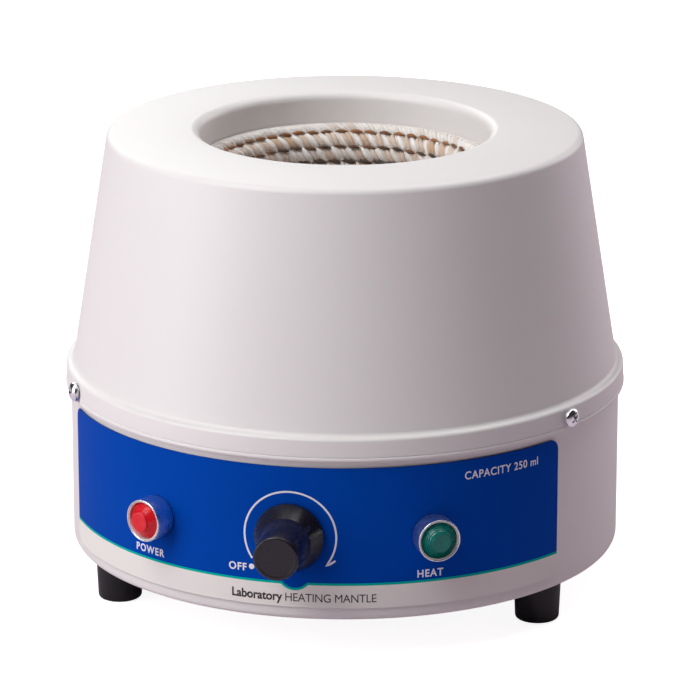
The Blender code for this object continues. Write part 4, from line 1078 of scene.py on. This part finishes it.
row_toast = [0.02, 0.40, 0.26]
cord_toast = [0.22, 0.62, 0.80]
cushion_rows, tie_rows, cord_rows = [], [], []
for row, (upper, lower) in enumerate(zip(row_edges, row_edges[1:])):
    across = upper - lower
    centre = (upper + lower) / 2
    lean = atan2(across.x, across.y)
    count = max(8, round(2 * pi * max(centre.x, 6 * mm) / stitch_pitch))
    phase = 0.37 * row
    wide = 2 * pi * centre.x / count / stitch_pitch
    tall = across.length / row_pitch
    outward = Vector((across.y, -across.x)).normalized()
    seat_point = centre + outward * 1.7 * mm
    cushion_rows.append(cushions.made(
        Count=count, Circle=seat_point.x, Height=seat_point.y, Lean=lean, Phase=phase, Width=wide,
        Depth=1.0, Length=tall, Toast=row_toast[min(row, 2)], Seed=20 + row))
    tie_point = centre + outward * 1.25 * mm
    if row:
        tie_rows.append(ties.made(
            Count=count, Circle=tie_point.x, Height=tie_point.y, Lean=lean, Phase=phase + pi / count,
            Width=wide, Depth=1.0, Length=tall, Toast=0.08, Seed=60 + row))
    if row < len(row_edges) - 2:
        cord_point = lower + outward * 0.9 * mm
        cord_rows.append(dashes.made(
            Count=count, Circle=cord_point.x, Height=cord_point.y, Lean=lean,
            Phase=phase + 2 * pi / count - tie_slant / cord_point.x,
            Width=2 * pi * cord_point.x / count / stitch_pitch, Depth=1.0, Length=1.0,
            Toast=cord_toast[min(row, 2)], Seed=90 + row))

wall_points = [Vector((rim_radius, rim_level - 1.2 * mm)), Vector((47.6 * mm, rim_level - 4.4 * mm)),
               Vector((44.6 * mm, rim_level - 9 * mm))]
bowl_drops = [pi / 2 * k / 18 for k in range(19)]
wall_points += [bowl_point(bowl_radius + 1.6 * mm, drop) for drop in bowl_drops]
wall_points[-1].x = 0.0
outer_wall = [bowl_point(bowl_radius + 5.3 * mm, drop) for drop in reversed(bowl_drops)]
outer_wall[0].x = 0.0
outer_wall += [Vector((48.6 * mm, rim_level - 8 * mm)), Vector((rim_radius, rim_level - 3.4 * mm))]
# The backing under the stitches is coloured dark brown: painted shade in the gaps between the stitches. Only
# its band at the rim keeps a pale yarn colour.
backing_cloth = yarn_finish("backing_cloth", (0.42, 0.30, 0.21), (0.25, 0.15, 0.09), 0.2 * mm)
rim_cloth = yarn_finish("rim_cloth", (0.82, 0.76, 0.72), (0.50, 0.36, 0.26), 0.2 * mm)
backing = turned(wall_points + outer_wall, 96)
backing.materials.append(backing_cloth.material)
backing.materials.append(rim_cloth.material)
for polygon in backing.polygons:
    polygon.material_index = 1 if polygon.center.z > rim_level - 3.6 * mm else 0
fit("nest_backing", backing, None, "glass_fibre_yarn", "heating_nest")
fit("nest_stitches", merged(cushion_rows), knit_yarn, "glass_fibre_yarn", smooth=180.0)
fit("nest_ties", merged(tie_rows), tie_yarn, "glass_fibre_yarn", smooth=180.0)
fit("nest_heating_cord", merged(cord_rows), cord_yarn, "resistance_wire", smooth=180.0)


# Upper cover. Spun from one steel sheet: a rolled throat, a nearly flat top, a long cone, a narrow ledge and
# a hemmed band that drops over the housing. Painted with the same powder coat as the housing.

cover_low, cover_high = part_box("upper_cover")
band_radius = cover_high.x
throat_radius = rim_radius + 0.5 * mm
lip_level = cover_high.z
top_level = lip_level - 0.85 * mm
throat_foot = lip_level + 0.1 * mm - 12.4 * mm
band_top = housing_high.z + 1.05 * mm
cone_foot = Vector((band_radius - 2.95 * mm, band_top + 0.5 * mm))
cone_top = cone_foot.x - 0.159 * (top_level - cone_foot.y)
cover_outside = rounded([
    (throat_radius, throat_foot, 0),
    (throat_radius, lip_level + 0.1 * mm, 3.0 * mm),
    (cone_top, top_level, 2.6 * mm),
    (cone_foot.x, cone_foot.y, 1.6 * mm),
    (band_radius - 0.45 * mm, band_top, 1.2 * mm),
    (band_radius - 0.18 * mm, cover_low.z + 1.7 * mm, 0),
], 9)
hem = [(0.36, 1.45), (0.34, 1.30), (0.10, 1.15), (0.0, 0.85), (0.0, 0.45), (0.12, 0.15), (0.40, 0.03)]


def inward(outline, wall):
    """An open outline moved in by the sheet's thickness."""
    moved = []
    for index, point in enumerate(outline):
        along = (outline[min(index + 1, len(outline) - 1)] - outline[max(index - 1, 0)]).normalized()
        moved.append(point + Vector((along.y, -along.x)) * wall)
    return moved


cover_inside = inward(cover_outside, sheet) + [Vector((band_radius - 1.1 * mm, cover_low.z + 0.05 * mm))]
cover_outside += [Vector((band_radius - draw_in * mm, cover_low.z + rise * mm)) for draw_in, rise in hem]
cover_holes = [panel_hole(name, screw_shank + play) for name in screw_nodes]
cover_mesh = combined(turned([*cover_outside, *reversed(cover_inside)], 256), "DIFFERENCE", *cover_holes)
fit("upper_cover_shell", cover_mesh, paint, "off_white_paint", "upper_cover", smooth=30.0)


# Screws. M4 pan head screws of bright zinc: three through the band into the housing, three up through the
# feet, and three through the bottom plate into the pillars. Each has a pressed cross recess.


def zinc_finish():
    """Bright zinc plating, faintly cloudy."""
    zinc = Finish("bright_zinc", (0.86, 0.87, 0.90), 0.24, Metallic=1.0)
    cloud = zinc.noise(900.0, 3.0)
    return zinc.surface(colour=zinc.mix(cloud, (0.78, 0.79, 0.83), (0.93, 0.94, 0.96)),
                        roughness=cloud * 0.2 + 0.13, height=cloud, depth=0.006 * mm)


bright_zinc = zinc_finish()
head_radius = 3.4 * mm
head_height = 2.5 * mm
head_side = 0.9 * mm
blade_reach = 2.7 * mm
blade_half = 0.6 * mm
recess_depth = 1.4 * mm


def cross_recess():
    """Two tapering blades that press the cross into a screw's head."""
    blades = []
    for turn in (0.0, pi / 2):
        blade = bmesh.new()
        bmesh.ops.create_cone(blade, cap_ends=True, segments=4, radius1=0.5, radius2=1.0, depth=1.0)
        mesh = mesh_of(blade, "blade")
        mesh.transform(Matrix.Rotation(turn, 4, "Z")
                       @ Matrix.Diagonal((blade_reach, blade_half, 2 * recess_depth, 1))
                       @ Matrix.Rotation(pi / 4, 4, "Z") @ Matrix.Diagonal((1.4142, 1.4142, 1, 1)))
        blades.append(mesh)
    return blades


def pan_screw(length):
    """A pan head screw along local Z with its head's base at zero and a threaded shank below."""
    dome = [Vector((head_radius * sin(a), head_side + (head_height - head_side) * cos(a)))
            for a in [pi / 2 * k / 10 for k in range(1, 11)]]
    outline = [Vector((0, head_height)), *dome, Vector((head_radius, 0.25 * mm)),
               Vector((head_radius - 0.25 * mm, 0)), Vector((screw_shank, 0))]
    pitch = 0.7 * mm
    turns = int((length - 2.4 * mm) / pitch)
    for k in range(turns):
        outline += [Vector((screw_shank, -0.6 * mm - k * pitch)),
                    Vector((screw_shank - 0.32 * mm, -0.6 * mm - (k + 0.5) * pitch))]
    outline += [Vector((screw_shank - 0.3 * mm, -length + 1.6 * mm)), Vector((0, -length))]
    recess = cross_recess()
    for blade in recess:
        blade.transform(Matrix.Translation((0, 0, head_height)))
    return combined(turned(outline, 40), "DIFFERENCE", *recess)


band_screw = pan_screw(9.5 * mm)
for name in screw_nodes:
    place = on_wall(azimuth_of(name), middle(name).z) @ Matrix.Translation((0, 0, band_radius + 0.3 * mm))
    twist = Matrix.Rotation(radians(38) if "right" in name else radians(20), 4, "Z")
    fit(name + "_pan_head", placed(band_screw, place @ twist), bright_zinc, "bright_zinc", name)

upside_down = Matrix.Rotation(pi, 4, "X")
sides = ("left", "right", "rear")
for name in [kind + side for kind in ("foot_screw_", "pillar_screw_") for side in sides]:
    low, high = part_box(name)
    base = Matrix.Translation((middle(name).x, middle(name).y, low.z + head_height))
    screw = pan_screw(high.z - low.z - head_height)
    fit(name + "_pan_head", placed(screw, base @ upside_down), bright_zinc, "bright_zinc", name)
keep(bright_zinc, "bright_zinc", "foot_nut_left", "foot_nut_right", "foot_nut_rear")


# Control. A carbon-track potentiometer behind the panel, held by its nut; its steel shaft carries a black
# moulded knob with a flared skirt and a pointer fin, fixed by a grub screw.

keep(steel_parts, "plated_steel", "potentiometer_nut", "potentiometer_shaft", "knob_grub_screw")
knob_plastic = moulded_black("knob_plastic", (0.006, 0.005, 0.009), 0.27, 0.006 * mm)
pointer_azimuth = radians(54)
knob_low, knob_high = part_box("control_knob")
knob_front, knob_back = -knob_low.y, -knob_high.y
skirt_radius = 12.1 * mm
root_radius = 8.75 * mm
face_radius = 7.7 * mm
skirt_height = 6.6 * mm
root = knob_back + skirt_height
knob_place = on_wall(0.0, control_height) @ Matrix.Rotation(-pointer_azimuth, 4, "Z")
shaft_bore = 3.3 * mm
ceiling = knob_back + 3.4 * mm
bore_end = ceiling + 12.3 * mm
knob_outline = rounded([
    (0, knob_front - 0.12 * mm, 0),
    (face_radius - 1.4 * mm, knob_front - 0.12 * mm, 0.5 * mm),
    (face_radius - 1.1 * mm, knob_front, 0.3 * mm),
    (face_radius, knob_front, 0.7 * mm),
    (root_radius, root, 0.9 * mm),
    (skirt_radius, knob_back + 1.1 * mm, 0.5 * mm),
    (skirt_radius, knob_back, 0.3 * mm),
    (skirt_radius - 1.6 * mm, knob_back, 0),
    (skirt_radius - 1.6 * mm, ceiling, 0),
    (shaft_bore, ceiling, 0),
    (shaft_bore, bore_end, 0),
    (0, bore_end, 0),
], 4)
fin_side = [(face_radius - 2 * mm, knob_back + 3.8 * mm), (root_radius + 1.6 * mm, knob_back + 3.8 * mm),
            (root_radius + 1.6 * mm, root - 0.2 * mm), (face_radius + 1.12 * mm, knob_front - 2.2 * mm),
            (face_radius - 2 * mm, knob_front - 1.3 * mm)]
fin_half = 0.8 * mm
fin = bmesh.new()
fin_face = fin.faces.new([fin.verts.new((-fin_half, r, z)) for r, z in fin_side])
grown = bmesh.ops.extrude_face_region(fin, geom=[fin_face])
bmesh.ops.translate(fin, verts=[v for v in grown["geom"] if isinstance(v, bmesh.types.BMVert)],
                    vec=(2 * fin_half, 0, 0))
bmesh.ops.recalc_face_normals(fin, faces=fin.faces[:])
crest = [edge for edge in fin.edges if abs(edge.verts[0].co.x - edge.verts[1].co.x) < 1e-6
         and min(v.co.y for v in edge.verts) > face_radius - 1.9 * mm]
bmesh.ops.bevel(fin, geom=crest, offset=0.3 * mm, segments=3, affect="EDGES")
fin_mesh = mesh_of(fin, "fin")
grub_place = (Matrix.Rotation(pi, 4, "Z") @ Matrix.Translation((0, 0, knob_back + 6.2 * mm))
              @ Matrix.Rotation(-pi / 2, 4, "X"))
knob_mesh = combined(turned(knob_outline, 96), "UNION", fin_mesh)
knob_mesh = combined(knob_mesh, "DIFFERENCE", drill(1.9 * mm, 1.5 * mm, 24 * mm, grub_place))
knob_mesh.transform(knob_place)
fit("pointer_knob", knob_mesh, knob_plastic, "black_moulded_plastic", "control_knob", body="knob",
    smooth=28.0)


# Feet. Three tapered black rubber feet, each with a recess for the head of the screw that holds it to the
# housing's flange.

foot_recess = 4.3 * mm
foot_recess_top = 9.0 * mm
for side in sides:
    low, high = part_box("foot_" + side)
    top_radius = (high.y - low.y) / 2
    outline = rounded([
        (screw_shank + play, high.z, 0),
        (top_radius, high.z, 0.4 * mm),
        (top_radius - 0.6 * mm, low.z, 1.3 * mm),
        (foot_recess, low.z, 0.5 * mm),
        (foot_recess, foot_recess_top, 0),
        (screw_shank + play, foot_recess_top, 0),
    ])
    place = Matrix.Translation((middle("foot_" + side).x, middle("foot_" + side).y, 0))
    fit("rubber_foot_" + side, turned(outline, 72, place), soft_rubber, "black_rubber", "foot_" + side)

for source in [item for item in bpy.data.objects if item.hide_render and "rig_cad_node" not in item]:
    bpy.data.objects.remove(source)
